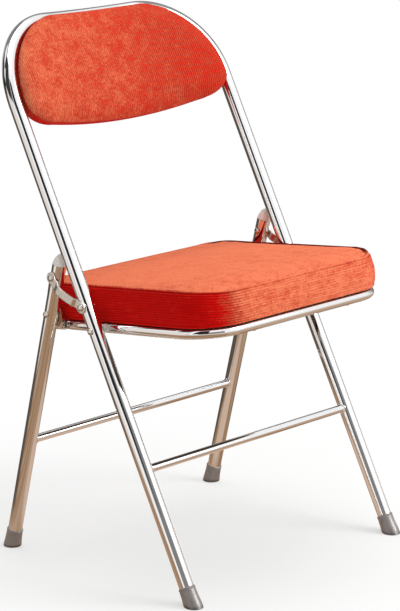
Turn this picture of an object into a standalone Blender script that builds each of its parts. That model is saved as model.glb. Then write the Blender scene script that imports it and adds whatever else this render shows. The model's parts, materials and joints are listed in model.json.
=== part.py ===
"""Padded folding chair: bent chrome tube, corduroy seat and back, four-bar fold.

Metres, +Z up. The chair faces -Y and stands on Z = 0, centred on X = 0.
"Left" is the -X side, as seen by someone who stands in front of the chair.
"""
import math

import bpy
import bmesh
from mathutils import Matrix, Vector

# Tubing and fits
TUBE_OD = 0.0210
TUBE_WALL = 0.0012
CROSSBAR_OD = 0.0120
CROSSBAR_WALL = 0.0010
SEAT_TUBE_OD = 0.0130
SEAT_TUBE_WALL = 0.0010
FIT = 0.0003

# Stance: both leg pairs share the same two side planes
HALF_TRACK = 0.2162
FRONT_FLOOR_Y = -0.2103
FOOT_SPREAD = 0.3765
FRONT_LEAN = math.radians(27.5)
FRONT_BAR_UP = 0.2022
REAR_BAR_UP = 0.1788
TUBE_LIFT = 0.0100

# Backrest hoop, measured along the leaning front tube
HOOP_TOP = 0.8810
HOOP_RADIUS = 0.1260
HOOP_BOW = 0.0210

# Pivots: up the front tube from the floor, then along and behind it to the top of the rear leg
SEAT_PIVOT_UP = 0.4115
LINK_PIVOT_GAP = 0.0365
LINK_RISE = 0.0577
LINK_SETBACK = 0.0383
REAR_PIVOT_GAP = 0.0585
REAR_TOP_GAP = 0.0165

# Rivets
PIN_D = 0.0060
HEAD_D = 0.0125
HEAD_H = 0.0026
TAIL_D = 0.0100
TAIL_H = 0.0016
OPEN_PIVOT_PLAY = 0.0056
OPEN_PIVOT_TAIL_D = 0.0220

# Link straps
STRAP_WIDTH = 0.0125
STRAP_THICK = 0.0025
STRAP_EYE_D = 0.0170
STRAP_BOW = 0.0060
STRAP_CLEAR = 0.0004
JOGGLE_FRONT = 0.0110
JOGGLE_REAR = 0.0190
JOGGLE_RUN = 0.0060

# Seat frame, measured from the seat pivot along the seat
SEAT_TILT = math.radians(6.4)
SEAT_BUSH_LENGTH = 0.0106
SEAT_FRONT = 0.1965
SEAT_REAR = 0.1120
SEAT_FRONT_R = 0.0600
SEAT_REAR_R = 0.0350
SEAT_BUSH_D = 0.0120
BRACKET_PLATE = 0.0025
BRACKET_RIM = 0.0050
BRACKET_FOOT_LENGTH = 0.0300

# Seat board and cushion
SEAT_BOARD_T = 0.0080
SEAT_BOARD_INSET = 0.0045
CUSHION_CLEAR = 0.0107
CUSHION_FRONT = 0.2060
CUSHION_REAR = 0.1460
CUSHION_FRONT_R = 0.0650
CUSHION_REAR_R = 0.0850
CUSHION_HEIGHT = 0.0520
CUSHION_CROWN = 0.0060
CUSHION_BULGE = 0.0025
CUSHION_NOSE_DROP = 0.0045
CUSHION_WRAP = 0.0010
CUSHION_EDGE_R = 0.0090
CUSHION_FOOT_R = 0.0040

# Back board and cushion, depths measured from the hoop's own surface
BACK_BOARD_T = 0.0060
BACK_BOARD_INSET = 0.0070
BACK_PLUG_REAR = 0.0040
BACK_PLUG_CLEAR = 0.0013
BACK_FRONT = 0.0310
BACK_SIDE_LIP = 0.0030
BACK_TOP_LIP = 0.0110
BACK_HEIGHT = 0.1690
BACK_BOTTOM_SAG = 0.0080
BACK_CORNER_SHARE = 0.97
BACK_EDGE_R = 0.0220
BACK_REAR_EDGE_R = 0.0020

# Back fixing tabs
TAB_HEIGHT = 0.0180
TAB_THICK = 0.0025
TAB_OVERLAP = 0.0170
TAB_LOWER_SHARE = 0.26
TAB_UPPER_SHARE = 0.61

# Wood screws
SCREW_D = 0.0036
SCREW_HEAD_D = 0.0076
SCREW_HEAD_H = 0.0022
BACK_SCREW_BITE = 0.0040
SEAT_SCREW_BITE = 0.0060
SEAT_SCREW_SHARE = 0.53

# Plastic feet and top caps
FOOT_WALL = 0.0010
FOOT_FLARE = 0.0016
FOOT_LENGTH = 0.0290
FOOT_UNDERCUT = 0.0085
FOOT_EDGE = 0.0012
CAP_STEM = 0.0120
CAP_LENGTH = 0.0190

# Facets
TUBE_RES = 6
SEAT_TUBE_RES = 4
TURN_STEPS = 20
SMALL_STEPS = 16
ARC_STEPS = 12
TOP_STEPS = 6
STRAP_STEPS = 44

# Values that follow from the ones above
TUBE_R = TUBE_OD / 2
SEAT_TUBE_R = SEAT_TUBE_OD / 2
PIN_R = PIN_D / 2
LINK_PIVOT_UP = SEAT_PIVOT_UP + LINK_PIVOT_GAP
TUBE_OUTSIDE = HALF_TRACK + TUBE_R
TUBE_INSIDE = HALF_TRACK - TUBE_R
SEAT_HALF = TUBE_INSIDE - SEAT_BUSH_LENGTH - 2 * FIT - SEAT_TUBE_R
CUSHION_HALF = TUBE_INSIDE - CUSHION_CLEAR
CUSHION_BASE = SEAT_TUBE_R + FIT
HOOP_BEND_X = HALF_TRACK - HOOP_RADIUS
HOOP_BEND_Z = HOOP_TOP - HOOP_RADIUS
BACK_BOTTOM = HOOP_TOP - BACK_HEIGHT
BACK_CORNER_R = BACK_CORNER_SHARE * (HOOP_BEND_Z - BACK_BOTTOM - BACK_BOTTOM_SAG)
BACK_TAB_FRONT = BACK_PLUG_REAR + FIT
BACK_MIDDLE = (BACK_BOTTOM + HOOP_TOP) / 2
REAR_FLOOR_Y = FRONT_FLOOR_Y + FOOT_SPREAD


def along_front(up, behind=0.0):
    """World point in the front tube's axis plane: up the tube from the floor, and behind it."""
    return Vector((0, FRONT_FLOOR_Y + up * math.sin(FRONT_LEAN) + behind * math.cos(FRONT_LEAN),
                   up * math.cos(FRONT_LEAN) - behind * math.sin(FRONT_LEAN)))


# The rear leg runs from its place on the floor to the far end of the link
LINK_END = along_front(LINK_PIVOT_UP + LINK_RISE, LINK_SETBACK)
REAR_LEAN = math.atan2(REAR_FLOOR_Y - LINK_END.y, LINK_END.z)
REAR_LINK_PIVOT_UP = LINK_END.z / math.cos(REAR_LEAN)
REAR_SEAT_PIVOT_UP = REAR_LINK_PIVOT_UP - REAR_PIVOT_GAP
REAR_LEG_TOP = REAR_LINK_PIVOT_UP + REAR_TOP_GAP


def along_rear(up):
    """World point on the rear leg's axis plane, a distance up from the floor."""
    return Vector((0, REAR_FLOOR_Y - up * math.sin(REAR_LEAN), up * math.cos(REAR_LEAN)))


def bow(x):
    """How far the hoop sits behind its side planes at a distance x from the middle."""
    return HOOP_BOW * (1 - (x / HALF_TRACK) ** 2)


# Scene, collections and materials

for old in list(bpy.data.objects):
    bpy.data.objects.remove(old, do_unlink=True)

chair = bpy.data.collections.new("padded_folding_chair")
tools = bpy.data.collections.new("cutters")
bpy.context.scene.collection.children.link(chair)
bpy.context.scene.collection.children.link(tools)


def make_material(name, color, roughness, metallic):
    material = bpy.data.materials.new(name)
    material.use_nodes = True
    shader = material.node_tree.nodes["Principled BSDF"]
    shader.inputs["Base Color"].default_value = (*color, 1)
    shader.inputs["Roughness"].default_value = roughness
    shader.inputs["Metallic"].default_value = metallic
    return material


CHROME = make_material("chrome", (0.80, 0.80, 0.81), 0.08, 1.0)
ZINC = make_material("zinc_plate", (0.62, 0.62, 0.60), 0.30, 1.0)
CORDUROY = make_material("corduroy", (0.68, 0.10, 0.045), 0.90, 0.0)
PLYWOOD = make_material("plywood", (0.62, 0.45, 0.28), 0.70, 0.0)
FOOT_PLASTIC = make_material("foot_plastic", (0.30, 0.28, 0.27), 0.45, 0.0)
CAP_PLASTIC = make_material("cap_plastic", (0.62, 0.58, 0.54), 0.35, 0.0)
NYLON = make_material("nylon", (0.75, 0.74, 0.70), 0.40, 0.0)


def make_axes(name, location, turn_about_x):
    empty = bpy.data.objects.new(name, None)
    empty.empty_display_size = 0.05
    empty.location = location
    empty.rotation_euler = (turn_about_x, 0, 0)
    chair.objects.link(empty)
    return empty


# Three frames of reference: local Z runs up each tube, local Y points behind it.
# The seat's local Y runs back along the seat and its Z is the seat's normal.
front_axes = make_axes("front_axes", along_front(0), -FRONT_LEAN)
rear_axes = make_axes("rear_axes", along_rear(REAR_LINK_PIVOT_UP), REAR_LEAN)
seat_axes = make_axes("seat_axes", along_front(SEAT_PIVOT_UP), -SEAT_TILT)
bpy.context.view_layer.update()


# General helpers

def add_part(name, mesh, material, parent, location=(0, 0, 0), rotation=(0, 0, 0)):
    part = bpy.data.objects.new(name, mesh)
    mesh.materials.clear()
    mesh.materials.append(material)
    part.parent = parent
    part.location = location
    part.rotation_euler = rotation
    chair.objects.link(part)
    mesh.shade_smooth()
    mesh.set_sharp_from_angle(angle=math.radians(35))
    return part


def add_cutter(name, mesh, parent, location=(0, 0, 0), rotation=(0, 0, 0)):
    cutter = bpy.data.objects.new(name, mesh)
    cutter.parent = parent
    cutter.location = location
    cutter.rotation_euler = rotation
    cutter.hide_render = True
    cutter.display_type = "WIRE"
    tools.objects.link(cutter)
    return cutter


def boolean(part, other, operation="DIFFERENCE"):
    modifier = part.modifiers.new(operation.lower(), "BOOLEAN")
    modifier.operation = operation
    modifier.object = other


def finish_mesh(bm, name):
    mesh = bpy.data.meshes.new(name)
    bm.to_mesh(mesh)
    bm.free()
    return mesh


def rod_mesh(name, radius, low, high, segments=16):
    """Solid round rod along local Z from low to high."""
    bm = bmesh.new()
    bmesh.ops.create_cone(bm, cap_ends=True, segments=segments, radius1=radius, radius2=radius,
                          depth=high - low)
    bmesh.ops.translate(bm, verts=bm.verts, vec=(0, 0, (low + high) / 2))
    return finish_mesh(bm, name)


def box_mesh(name, low, high):
    low = Vector(low)
    high = Vector(high)
    bm = bmesh.new()
    bmesh.ops.create_cube(bm, size=1)
    bmesh.ops.scale(bm, verts=bm.verts, vec=high - low)
    bmesh.ops.translate(bm, verts=bm.verts, vec=(low + high) / 2)
    return finish_mesh(bm, name)


def mesh_of(temporary):
    """Mesh of a temporary object as evaluated, welded; the object is removed."""
    bpy.context.scene.collection.objects.link(temporary)
    depsgraph = bpy.context.evaluated_depsgraph_get()
    mesh = bpy.data.meshes.new_from_object(temporary.evaluated_get(depsgraph))
    bpy.data.objects.remove(temporary, do_unlink=True)
    bm = bmesh.new()
    bm.from_mesh(mesh)
    bmesh.ops.remove_doubles(bm, verts=bm.verts, dist=1e-6)
    bm.to_mesh(mesh)
    bm.free()
    return mesh


def turned_mesh(name, profile, steps=TURN_STEPS, closed=False):
    """Solid of revolution about Z; the profile is (radius, height), outer side top to bottom."""
    mesh = bpy.data.meshes.new(name)
    count = len(profile)
    edges = [(i, i + 1) for i in range(count - 1)]
    if closed:
        edges.append((count - 1, 0))
    mesh.from_pydata([(radius, 0, height) for radius, height in profile], edges, [])
    blank = bpy.data.objects.new(name, mesh)
    screw = blank.modifiers.new("turn", "SCREW")
    screw.steps = steps
    screw.render_steps = steps
    screw.use_merge_vertices = True
    screw.merge_threshold = 1e-6
    return mesh_of(blank)


def tube_mesh(name, points, radius, resolution, cyclic=False, capped=False):
    """Swept round tube along a list of points, open at its ends unless capped."""
    curve = bpy.data.curves.new(name, "CURVE")
    curve.dimensions = "3D"
    curve.bevel_depth = radius
    curve.bevel_resolution = resolution
    curve.use_fill_caps = capped
    spline = curve.splines.new("POLY")
    spline.points.add(len(points) - 1)
    for point, co in zip(spline.points, points):
        point.co = (*co, 1)
    spline.use_cyclic_u = cyclic
    return mesh_of(bpy.data.objects.new(name, curve))


def hollow(part, wall):
    """Give an open tube its wall, inwards from the outside diameter."""
    solidify = part.modifiers.new("wall", "SOLIDIFY")
    solidify.thickness = wall
    solidify.offset = -1
    solidify.use_even_offset = True


def plate_mesh(name, outline, thickness):
    """Flat plate from a closed outline in XY, centred on Z = 0."""
    curve = bpy.data.curves.new(name, "CURVE")
    curve.dimensions = "2D"
    curve.fill_mode = "BOTH"
    curve.extrude = thickness / 2
    spline = curve.splines.new("POLY")
    spline.points.add(len(outline) - 1)
    for point, (x, y) in zip(spline.points, outline):
        point.co = (x, y, 0, 1)
    spline.use_cyclic_u = True
    return mesh_of(bpy.data.objects.new(name, curve))


def loft_mesh(name, rings):
    """Closed skin through rings of equal count; a ring of one point closes an end."""
    bm = bmesh.new()
    rows = [[bm.verts.new(co) for co in ring] for ring in rings]
    for low, high in zip(rows, rows[1:]):
        count = max(len(low), len(high))
        for i in range(count):
            j = (i + 1) % count
            corners = [low[i % len(low)], low[j % len(low)], high[j % len(high)], high[i % len(high)]]
            bm.faces.new(list(dict.fromkeys(corners)))
    bmesh.ops.recalc_face_normals(bm, faces=bm.faces)
    return finish_mesh(bm, name)


def arc(center_x, center_y, radius, start, end, steps):
    """Points on an arc, angles in degrees, both ends included."""
    angles = [math.radians(start + (end - start) * i / steps) for i in range(steps + 1)]
    return [(center_x + radius * math.cos(a), center_y + radius * math.sin(a)) for a in angles]


def side_name(side):
    return "left" if side < 0 else "right"


def outward(side):
    """Rotation that lays local Z along X, away from the chair's middle."""
    return (0, side * math.pi / 2, 0)


def side_bore(name, parent, side, y, z, radius, inner, outer):
    """Cutter for a hole along X between two distances from the middle."""
    return add_cutter(name, rod_mesh(name, radius, inner, outer), parent, (0, y, z), outward(side))


# Front frame: one tube bent into legs, uprights and backrest hoop

def hoop_points(end_up):
    """Axis of the front tube in (x, y, z) of the front axes, left foot to right foot."""
    left = [(-HALF_TRACK, end_up)]
    left += arc(-HOOP_BEND_X, HOOP_BEND_Z, HOOP_RADIUS, 180, 90, ARC_STEPS)
    top = [(HOOP_BEND_X * (2 * i / TOP_STEPS - 1), HOOP_TOP) for i in range(1, TOP_STEPS)]
    right = [(-x, z) for x, z in reversed(left)]
    return [(x, bow(x), z) for x, z in left + top + right]


front_tube = add_part(
    "front_frame_tube", tube_mesh("front_frame_tube", hoop_points(TUBE_LIFT), TUBE_R, TUBE_RES),
    CHROME, front_axes)
hollow(front_tube, TUBE_WALL)
for side in (-1, 1):
    for label, up in (("seat", SEAT_PIVOT_UP), ("link", LINK_PIVOT_UP)):
        bore = side_bore(f"{label}_bore_{side_name(side)}", front_axes, side, 0, up, PIN_R + FIT,
                         TUBE_INSIDE - TUBE_R, TUBE_OUTSIDE + TUBE_R)
        boolean(front_tube, bore)


def add_crossbar(name, parent, up):
    """Stretcher between two legs, its ends coped to the round of the tubes."""
    bar = add_part(name, rod_mesh(name, CROSSBAR_OD / 2, -HALF_TRACK, HALF_TRACK), CHROME, parent,
                   (0, 0, up), (0, math.pi / 2, 0))
    bore_r = CROSSBAR_OD / 2 - CROSSBAR_WALL
    boolean(bar, add_cutter(f"{name}_bore", rod_mesh(f"{name}_bore", bore_r, -2 * HALF_TRACK, 2 * HALF_TRACK),
                            parent, (0, 0, up), (0, math.pi / 2, 0)))
    for side in (-1, 1):
        cope = f"{name}_cope_{side_name(side)}"
        boolean(bar, add_cutter(cope, rod_mesh(cope, TUBE_R + FIT, -TUBE_OD, TUBE_OD, 32), parent,
                                (side * HALF_TRACK, 0, up)))


add_crossbar("front_crossbar", front_axes, FRONT_BAR_UP)

# Feet: flared plastic sleeves, cut level with the floor

floor_half = 1.0
floor_cutter = add_cutter("floor", box_mesh("floor", (-floor_half, -floor_half, -floor_half),
                                            (floor_half, floor_half, 0)), None)


def add_foot(name, parent, side, floor_z):
    socket_r = TUBE_R + FIT
    rim_r = socket_r + FOOT_WALL
    sole_r = rim_r + FOOT_FLARE
    seat_z = TUBE_LIFT - FIT
    profile = [
        (0, seat_z), (socket_r, seat_z), (socket_r, FOOT_LENGTH),
        (rim_r - FOOT_WALL / 3, FOOT_LENGTH), (rim_r, FOOT_LENGTH - FOOT_WALL / 2),
        (rim_r + FOOT_FLARE / 4, FOOT_LENGTH / 2), (sole_r, FOOT_EDGE),
        (sole_r, -FOOT_UNDERCUT), (0, -FOOT_UNDERCUT)]
    foot = add_part(name, turned_mesh(name, profile), FOOT_PLASTIC, parent,
                    (side * HALF_TRACK, 0, floor_z))
    boolean(foot, floor_cutter)


for side in (-1, 1):
    add_foot(f"front_foot_{side_name(side)}", front_axes, side, 0)
    add_foot(f"rear_foot_{side_name(side)}", rear_axes, side, -REAR_LINK_PIVOT_UP)


# Rear frame: two straight legs, a stretcher and top caps

for side in (-1, 1):
    word = side_name(side)
    leg_low = TUBE_LIFT - REAR_LINK_PIVOT_UP
    leg_high = REAR_LEG_TOP - REAR_LINK_PIVOT_UP
    leg = add_part(f"rear_leg_{word}",
                   tube_mesh(f"rear_leg_{word}", [(0, 0, leg_low), (0, 0, leg_high)], TUBE_R, TUBE_RES),
                   CHROME, rear_axes, (side * HALF_TRACK, 0, 0))
    hollow(leg, TUBE_WALL)
    for label, up in (("rear_seat", REAR_SEAT_PIVOT_UP), ("rear_link", REAR_LINK_PIVOT_UP)):
        boolean(leg, side_bore(f"{label}_bore_{word}", rear_axes, side, 0, up - REAR_LINK_PIVOT_UP,
                               PIN_R + FIT, TUBE_INSIDE - TUBE_R, TUBE_OUTSIDE + TUBE_R))
    stem_r = TUBE_R - TUBE_WALL - FIT
    dome = [(TUBE_R * math.cos(a), FIT + CAP_LENGTH * math.sin(a) ** 1.25)
            for a in (math.radians(90 * i / 8) for i in range(8, -1, -1))]
    dome[0] = (0, FIT + CAP_LENGTH)
    cap_profile = dome + [(stem_r, FIT), (stem_r * 0.94, -CAP_STEM), (0, -CAP_STEM)]
    add_part(f"rear_cap_{word}", turned_mesh(f"rear_cap_{word}", cap_profile), CAP_PLASTIC, rear_axes,
             (side * HALF_TRACK, 0, leg_high))

add_crossbar("rear_crossbar", rear_axes, REAR_BAR_UP - REAR_LINK_PIVOT_UP)


# Rivets: domed outside, clinched inside

def add_rivet(name, parent, side, y, z, head_at, tail_at, tail_d=TAIL_D):
    """Rivet along X; head_at and tail_at are the distances of its two shoulders from the middle."""
    length = head_at - tail_at
    head_r = HEAD_D / 2
    tail_r = tail_d / 2
    dome = [(head_r * math.cos(a), length + HEAD_H * math.sin(a))
            for a in (math.radians(90 * i / 4) for i in range(4, -1, -1))]
    dome[0] = (0, length + HEAD_H)
    profile = dome + [(PIN_R, length), (PIN_R, 0), (tail_r, 0), (tail_r * 0.8, -TAIL_H), (0, -TAIL_H)]
    return add_part(name, turned_mesh(name, profile, SMALL_STEPS), ZINC, parent,
                    (side * tail_at, y, z), outward(side))


STRAP_NEAR = TUBE_OUTSIDE + FIT
STRAP_FAR = STRAP_NEAR + HEAD_H + STRAP_CLEAR
BRACKET_OUTSIDE = TUBE_INSIDE - FIT
BRACKET_INSIDE = BRACKET_OUTSIDE - BRACKET_PLATE

for side in (-1, 1):
    word = side_name(side)
    add_rivet(f"seat_rivet_{word}", front_axes, side, 0, SEAT_PIVOT_UP, TUBE_OUTSIDE + FIT,
              SEAT_HALF - SEAT_TUBE_R - FIT)
    add_rivet(f"link_rivet_{word}", front_axes, side, 0, LINK_PIVOT_UP, STRAP_NEAR + STRAP_THICK + FIT,
              TUBE_INSIDE - FIT)
    add_rivet(f"rear_seat_rivet_{word}", rear_axes, side, 0, REAR_SEAT_PIVOT_UP - REAR_LINK_PIVOT_UP,
              TUBE_OUTSIDE + FIT, BRACKET_INSIDE - FIT, OPEN_PIVOT_TAIL_D)
    add_rivet(f"rear_link_rivet_{word}", rear_axes, side, 0, 0, STRAP_NEAR + STRAP_THICK + FIT,
              TUBE_INSIDE - FIT)


def add_ring(name, material, parent, side, y, z, inner, outer, diameter):
    """Bush along X round a rivet."""
    bore_r = PIN_R + FIT
    ring_r = diameter / 2
    length = outer - inner
    profile = [(ring_r, length), (ring_r, 0), (bore_r, 0), (bore_r, length)]
    add_part(name, turned_mesh(name, profile, SMALL_STEPS, closed=True), material, parent,
             (side * inner, y, z), outward(side))


for side in (-1, 1):
    word = side_name(side)
    add_ring(f"seat_bush_{word}", NYLON, front_axes, side, 0, SEAT_PIVOT_UP,
             SEAT_HALF + SEAT_TUBE_R + FIT, TUBE_INSIDE - FIT, SEAT_BUSH_D)


# Link straps: bowed flat bars with round eyes, joggled out between them to pass over the seat rivet

def add_strap(side):
    """Strap from the front tube's pivot to the rear leg's, origin on the front pivot."""
    name = f"link_{side_name(side)}"
    to_rear = front_axes.matrix_world.inverted() @ along_rear(REAR_LINK_PIVOT_UP)
    run = Vector((to_rear.y, to_rear.z - LINK_PIVOT_UP))
    length = run.length
    run.normalize()
    across = Vector((run.y, -run.x))
    eye_r = STRAP_EYE_D / 2
    half = STRAP_WIDTH / 2
    bm = bmesh.new()
    rows = []
    for i in range(STRAP_STEPS + 1):
        # closer stations near the round ends
        s = -eye_r + (length + 2 * eye_r) * (0.5 - 0.5 * math.cos(math.pi * i / STRAP_STEPS))
        t = min(max(s / length, 0), 1)
        middle = run * s + across * (STRAP_BOW * 6.75 * t * t * (1 - t))
        to_eye = min(abs(s), abs(s - length))
        eye = math.sqrt(max(eye_r ** 2 - to_eye ** 2, 0))
        inside = 0 < s < length
        width = max(eye, half) if inside else eye
        rise = (s - JOGGLE_FRONT) / JOGGLE_RUN
        fall = (length - JOGGLE_REAR + JOGGLE_RUN - s) / JOGGLE_RUN
        step = min(max(min(rise, fall), 0), 1)
        x = STRAP_NEAR + (STRAP_FAR - STRAP_NEAR) * step * step * (3 - 2 * step)
        edge = [middle] if i in (0, STRAP_STEPS) else [middle - across * width, middle + across * width]
        rows.append([bm.verts.new((side * x, p.x, p.y)) for p in edge])
    for low, high in zip(rows, rows[1:]):
        corners = [low[0], low[-1], high[-1], high[0]]
        bm.faces.new(list(dict.fromkeys(corners)))
    bmesh.ops.recalc_face_normals(bm, faces=bm.faces)
    if bm.faces[0].normal.x * side < 0:
        bmesh.ops.reverse_faces(bm, faces=bm.faces)
    strap = add_part(name, finish_mesh(bm, name), CHROME, front_axes, (0, 0, LINK_PIVOT_UP))
    thick = strap.modifiers.new("thickness", "SOLIDIFY")
    thick.thickness = STRAP_THICK
    thick.offset = 1
    for label, offset in (("front", Vector((0, 0))), ("rear", run * length)):
        boolean(strap, side_bore(f"{name}_{label}_bore", front_axes, side, offset.x,
                                 LINK_PIVOT_UP + offset.y, PIN_R + FIT, TUBE_INSIDE, 2 * TUBE_OUTSIDE))


for side in (-1, 1):
    add_strap(side)


# Seat frame: a closed tube loop under the cushion

def seat_outline(half, front, rear, front_r, rear_r, steps):
    """Rounded rectangle in the seat's plane, anticlockwise from the rear right corner."""
    points = arc(half - rear_r, rear - rear_r, rear_r, 0, 90, steps)
    points += arc(-half + rear_r, rear - rear_r, rear_r, 90, 180, steps)
    points += arc(-half + front_r, -front + front_r, front_r, 180, 270, steps)
    points += arc(half - front_r, -front + front_r, front_r, 270, 360, steps)
    return points


loop = seat_outline(SEAT_HALF, SEAT_FRONT, SEAT_REAR, SEAT_FRONT_R, SEAT_REAR_R, 8)
seat_tube = add_part("seat_frame_tube",
                     tube_mesh("seat_frame_tube", [(x, y, 0) for x, y in loop], SEAT_TUBE_R,
                               SEAT_TUBE_RES, cyclic=True),
                     CHROME, seat_axes)
hollow(seat_tube, SEAT_TUBE_WALL)
for side in (-1, 1):
    boolean(seat_tube, side_bore(f"seat_tube_bore_{side_name(side)}", seat_axes, side, 0, 0, PIN_R + FIT,
                                 SEAT_HALF - SEAT_TUBE_OD, SEAT_HALF + SEAT_TUBE_OD))


# Rear brackets: U channels welded to the loop, reaching out to the rear legs

rear_pivot = seat_axes.matrix_world.inverted() @ along_rear(REAR_SEAT_PIVOT_UP)
open_hole_r = PIN_R + OPEN_PIVOT_PLAY
bracket_eye_r = open_hole_r + BRACKET_RIM
bracket_foot = -SEAT_TUBE_R
bracket_back = rear_pivot.y + bracket_eye_r * 0.5
bracket_front = bracket_back - BRACKET_FOOT_LENGTH
flange_outside = SEAT_HALF + SEAT_TUBE_R + FIT + BRACKET_PLATE


def add_bracket(side):
    """Outer plate with the pivot eye, a web under it and an inner flange on the loop."""
    name = f"seat_bracket_{side_name(side)}"
    eye = arc(rear_pivot.y, rear_pivot.z, bracket_eye_r, -30, 210, 14)
    outline = eye + [(bracket_front, bracket_foot), (bracket_back, bracket_foot)]
    plate = plate_mesh(name, outline, BRACKET_PLATE)
    # the outline is drawn in the side plane: X of the plate is Y, Y is Z and Z is X
    plate.transform(Matrix(((0, 0, 1, 0), (1, 0, 0, 0), (0, 1, 0, 0), (0, 0, 0, 1))))
    plate.transform(Matrix.Translation((side * (BRACKET_OUTSIDE - BRACKET_PLATE / 2), 0, 0)))
    bracket = add_part(name, plate, ZINC, seat_axes)
    inner = flange_outside - BRACKET_PLATE
    spans = {
        "web": ((inner, BRACKET_OUTSIDE - BRACKET_PLATE / 2), (bracket_foot, bracket_foot + BRACKET_PLATE)),
        "flange": ((inner, flange_outside), (bracket_foot, SEAT_TUBE_R))}
    for label, (x_span, z_span) in spans.items():
        low_x, high_x = sorted(side * x for x in x_span)
        block = box_mesh(f"{name}_{label}", (low_x, bracket_front, z_span[0]),
                         (high_x, bracket_back, z_span[1]))
        boolean(bracket, add_cutter(f"{name}_{label}", block, seat_axes), "UNION")
    boolean(bracket, side_bore(f"{name}_hole", seat_axes, side, rear_pivot.y, rear_pivot.z, open_hole_r,
                               BRACKET_INSIDE - BRACKET_PLATE, BRACKET_OUTSIDE + BRACKET_PLATE))


for side in (-1, 1):
    add_bracket(side)


# Seat board: plywood let into the underside of the cushion

CUSHION_MIDDLE = (CUSHION_REAR - CUSHION_FRONT) / 2


def cushion_ring(inset, z, nose=0.0, scale=1.0):
    """One ring of the seat cushion; inset shrinks the outline, nose lowers its front edge."""
    outline = seat_outline(CUSHION_HALF - inset, CUSHION_FRONT - inset, CUSHION_REAR - inset,
                           CUSHION_FRONT_R - inset, CUSHION_REAR_R - inset, 8)
    front_y = CUSHION_FRONT_R - CUSHION_FRONT
    ring = []
    for start, end in zip(outline, outline[1:] + outline[:1]):
        ring.append(start)
        if math.dist(start, end) > CUSHION_FRONT_R / 2:
            ring += [(start[0] + (end[0] - start[0]) * k / 3, start[1] + (end[1] - start[1]) * k / 3)
                     for k in (1, 2)]
    return [Vector((x * scale, CUSHION_MIDDLE + (y - CUSHION_MIDDLE) * scale,
                    z - nose * min(max((front_y - y) / CUSHION_FRONT_R, 0), 1) ** 1.5))
            for x, y in ring]


board_outline = seat_outline(
    CUSHION_HALF - SEAT_BOARD_INSET, CUSHION_FRONT - SEAT_BOARD_INSET, CUSHION_REAR - SEAT_BOARD_INSET,
    CUSHION_FRONT_R - SEAT_BOARD_INSET, CUSHION_REAR_R - SEAT_BOARD_INSET, 8)
seat_board = add_part("seat_board", plate_mesh("seat_board", board_outline, SEAT_BOARD_T), PLYWOOD,
                      seat_axes, (0, 0, CUSHION_BASE + SEAT_BOARD_T / 2))


# Seat cushion: foam in corduroy, boxed sides, soft crown, recess for the board

cushion_low = CUSHION_BASE + CUSHION_WRAP
cushion_top = cushion_low + CUSHION_HEIGHT
recess_inset = SEAT_BOARD_INSET - FIT
recess_top = CUSHION_BASE + SEAT_BOARD_T + FIT
cushion_rings = [
    [Vector((0, CUSHION_MIDDLE, recess_top))],
    cushion_ring(recess_inset, recess_top),
    cushion_ring(recess_inset, cushion_low),
    cushion_ring(0.4 * CUSHION_FOOT_R, cushion_low),
    cushion_ring(0, cushion_low + CUSHION_FOOT_R),
    cushion_ring(-0.7 * CUSHION_BULGE, cushion_low + 0.30 * CUSHION_HEIGHT, 0.30 * CUSHION_NOSE_DROP),
    cushion_ring(-CUSHION_BULGE, cushion_low + 0.55 * CUSHION_HEIGHT, 0.55 * CUSHION_NOSE_DROP),
    cushion_ring(0.05 * CUSHION_EDGE_R, cushion_top - CUSHION_EDGE_R, CUSHION_NOSE_DROP),
    cushion_ring(0.40 * CUSHION_EDGE_R, cushion_top - 0.33 * CUSHION_EDGE_R, CUSHION_NOSE_DROP),
    cushion_ring(CUSHION_EDGE_R, cushion_top, CUSHION_NOSE_DROP),
    cushion_ring(CUSHION_EDGE_R, cushion_top + 0.45 * CUSHION_CROWN, 0.8 * CUSHION_NOSE_DROP, 0.9),
    cushion_ring(CUSHION_EDGE_R, cushion_top + 0.85 * CUSHION_CROWN, 0.4 * CUSHION_NOSE_DROP, 0.68),
    cushion_ring(CUSHION_EDGE_R, cushion_top + CUSHION_CROWN, 0, 0.36),
    [Vector((0, CUSHION_MIDDLE, cushion_top + CUSHION_CROWN))]]
add_part("seat_cushion", loft_mesh("seat_cushion", cushion_rings), CORDUROY, seat_axes)


# Wood screws: through the loop into the seat board, and through the tabs into the back board

def screw_mesh(name, grip, bite):
    """Pan head at negative Z, shank from Z = 0 through the grip and into the wood."""
    head_r = SCREW_HEAD_D / 2
    shank_r = SCREW_D / 2
    end = grip + bite
    profile = [(0, end), (shank_r * 0.5, end - shank_r * 0.3), (shank_r, end - shank_r * 1.8), (shank_r, 0),
               (head_r, 0), (head_r, -SCREW_HEAD_H * 0.45), (head_r * 0.6, -SCREW_HEAD_H), (0, -SCREW_HEAD_H)]
    return turned_mesh(name, profile, SMALL_STEPS)


for side in (-1, 1):
    for label, y in (("front", -SEAT_FRONT), ("rear", SEAT_REAR)):
        name = f"seat_screw_{label}_{side_name(side)}"
        place = (side * SEAT_SCREW_SHARE * SEAT_HALF, y, -SEAT_TUBE_R - FIT)
        grip = SEAT_TUBE_OD + 2 * FIT
        add_part(name, screw_mesh(name, grip, SEAT_SCREW_BITE), ZINC, seat_axes, place)
        hole = add_cutter(f"{name}_hole", rod_mesh(f"{name}_hole", SCREW_D / 2 + FIT, -SEAT_TUBE_OD,
                                                   grip + SEAT_SCREW_BITE + FIT), seat_axes, place)
        boolean(seat_tube, hole)
        boolean(seat_board, hole)


# Back cushion and board: a bowed pad that plugs the hoop and laps over the front of it

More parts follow.
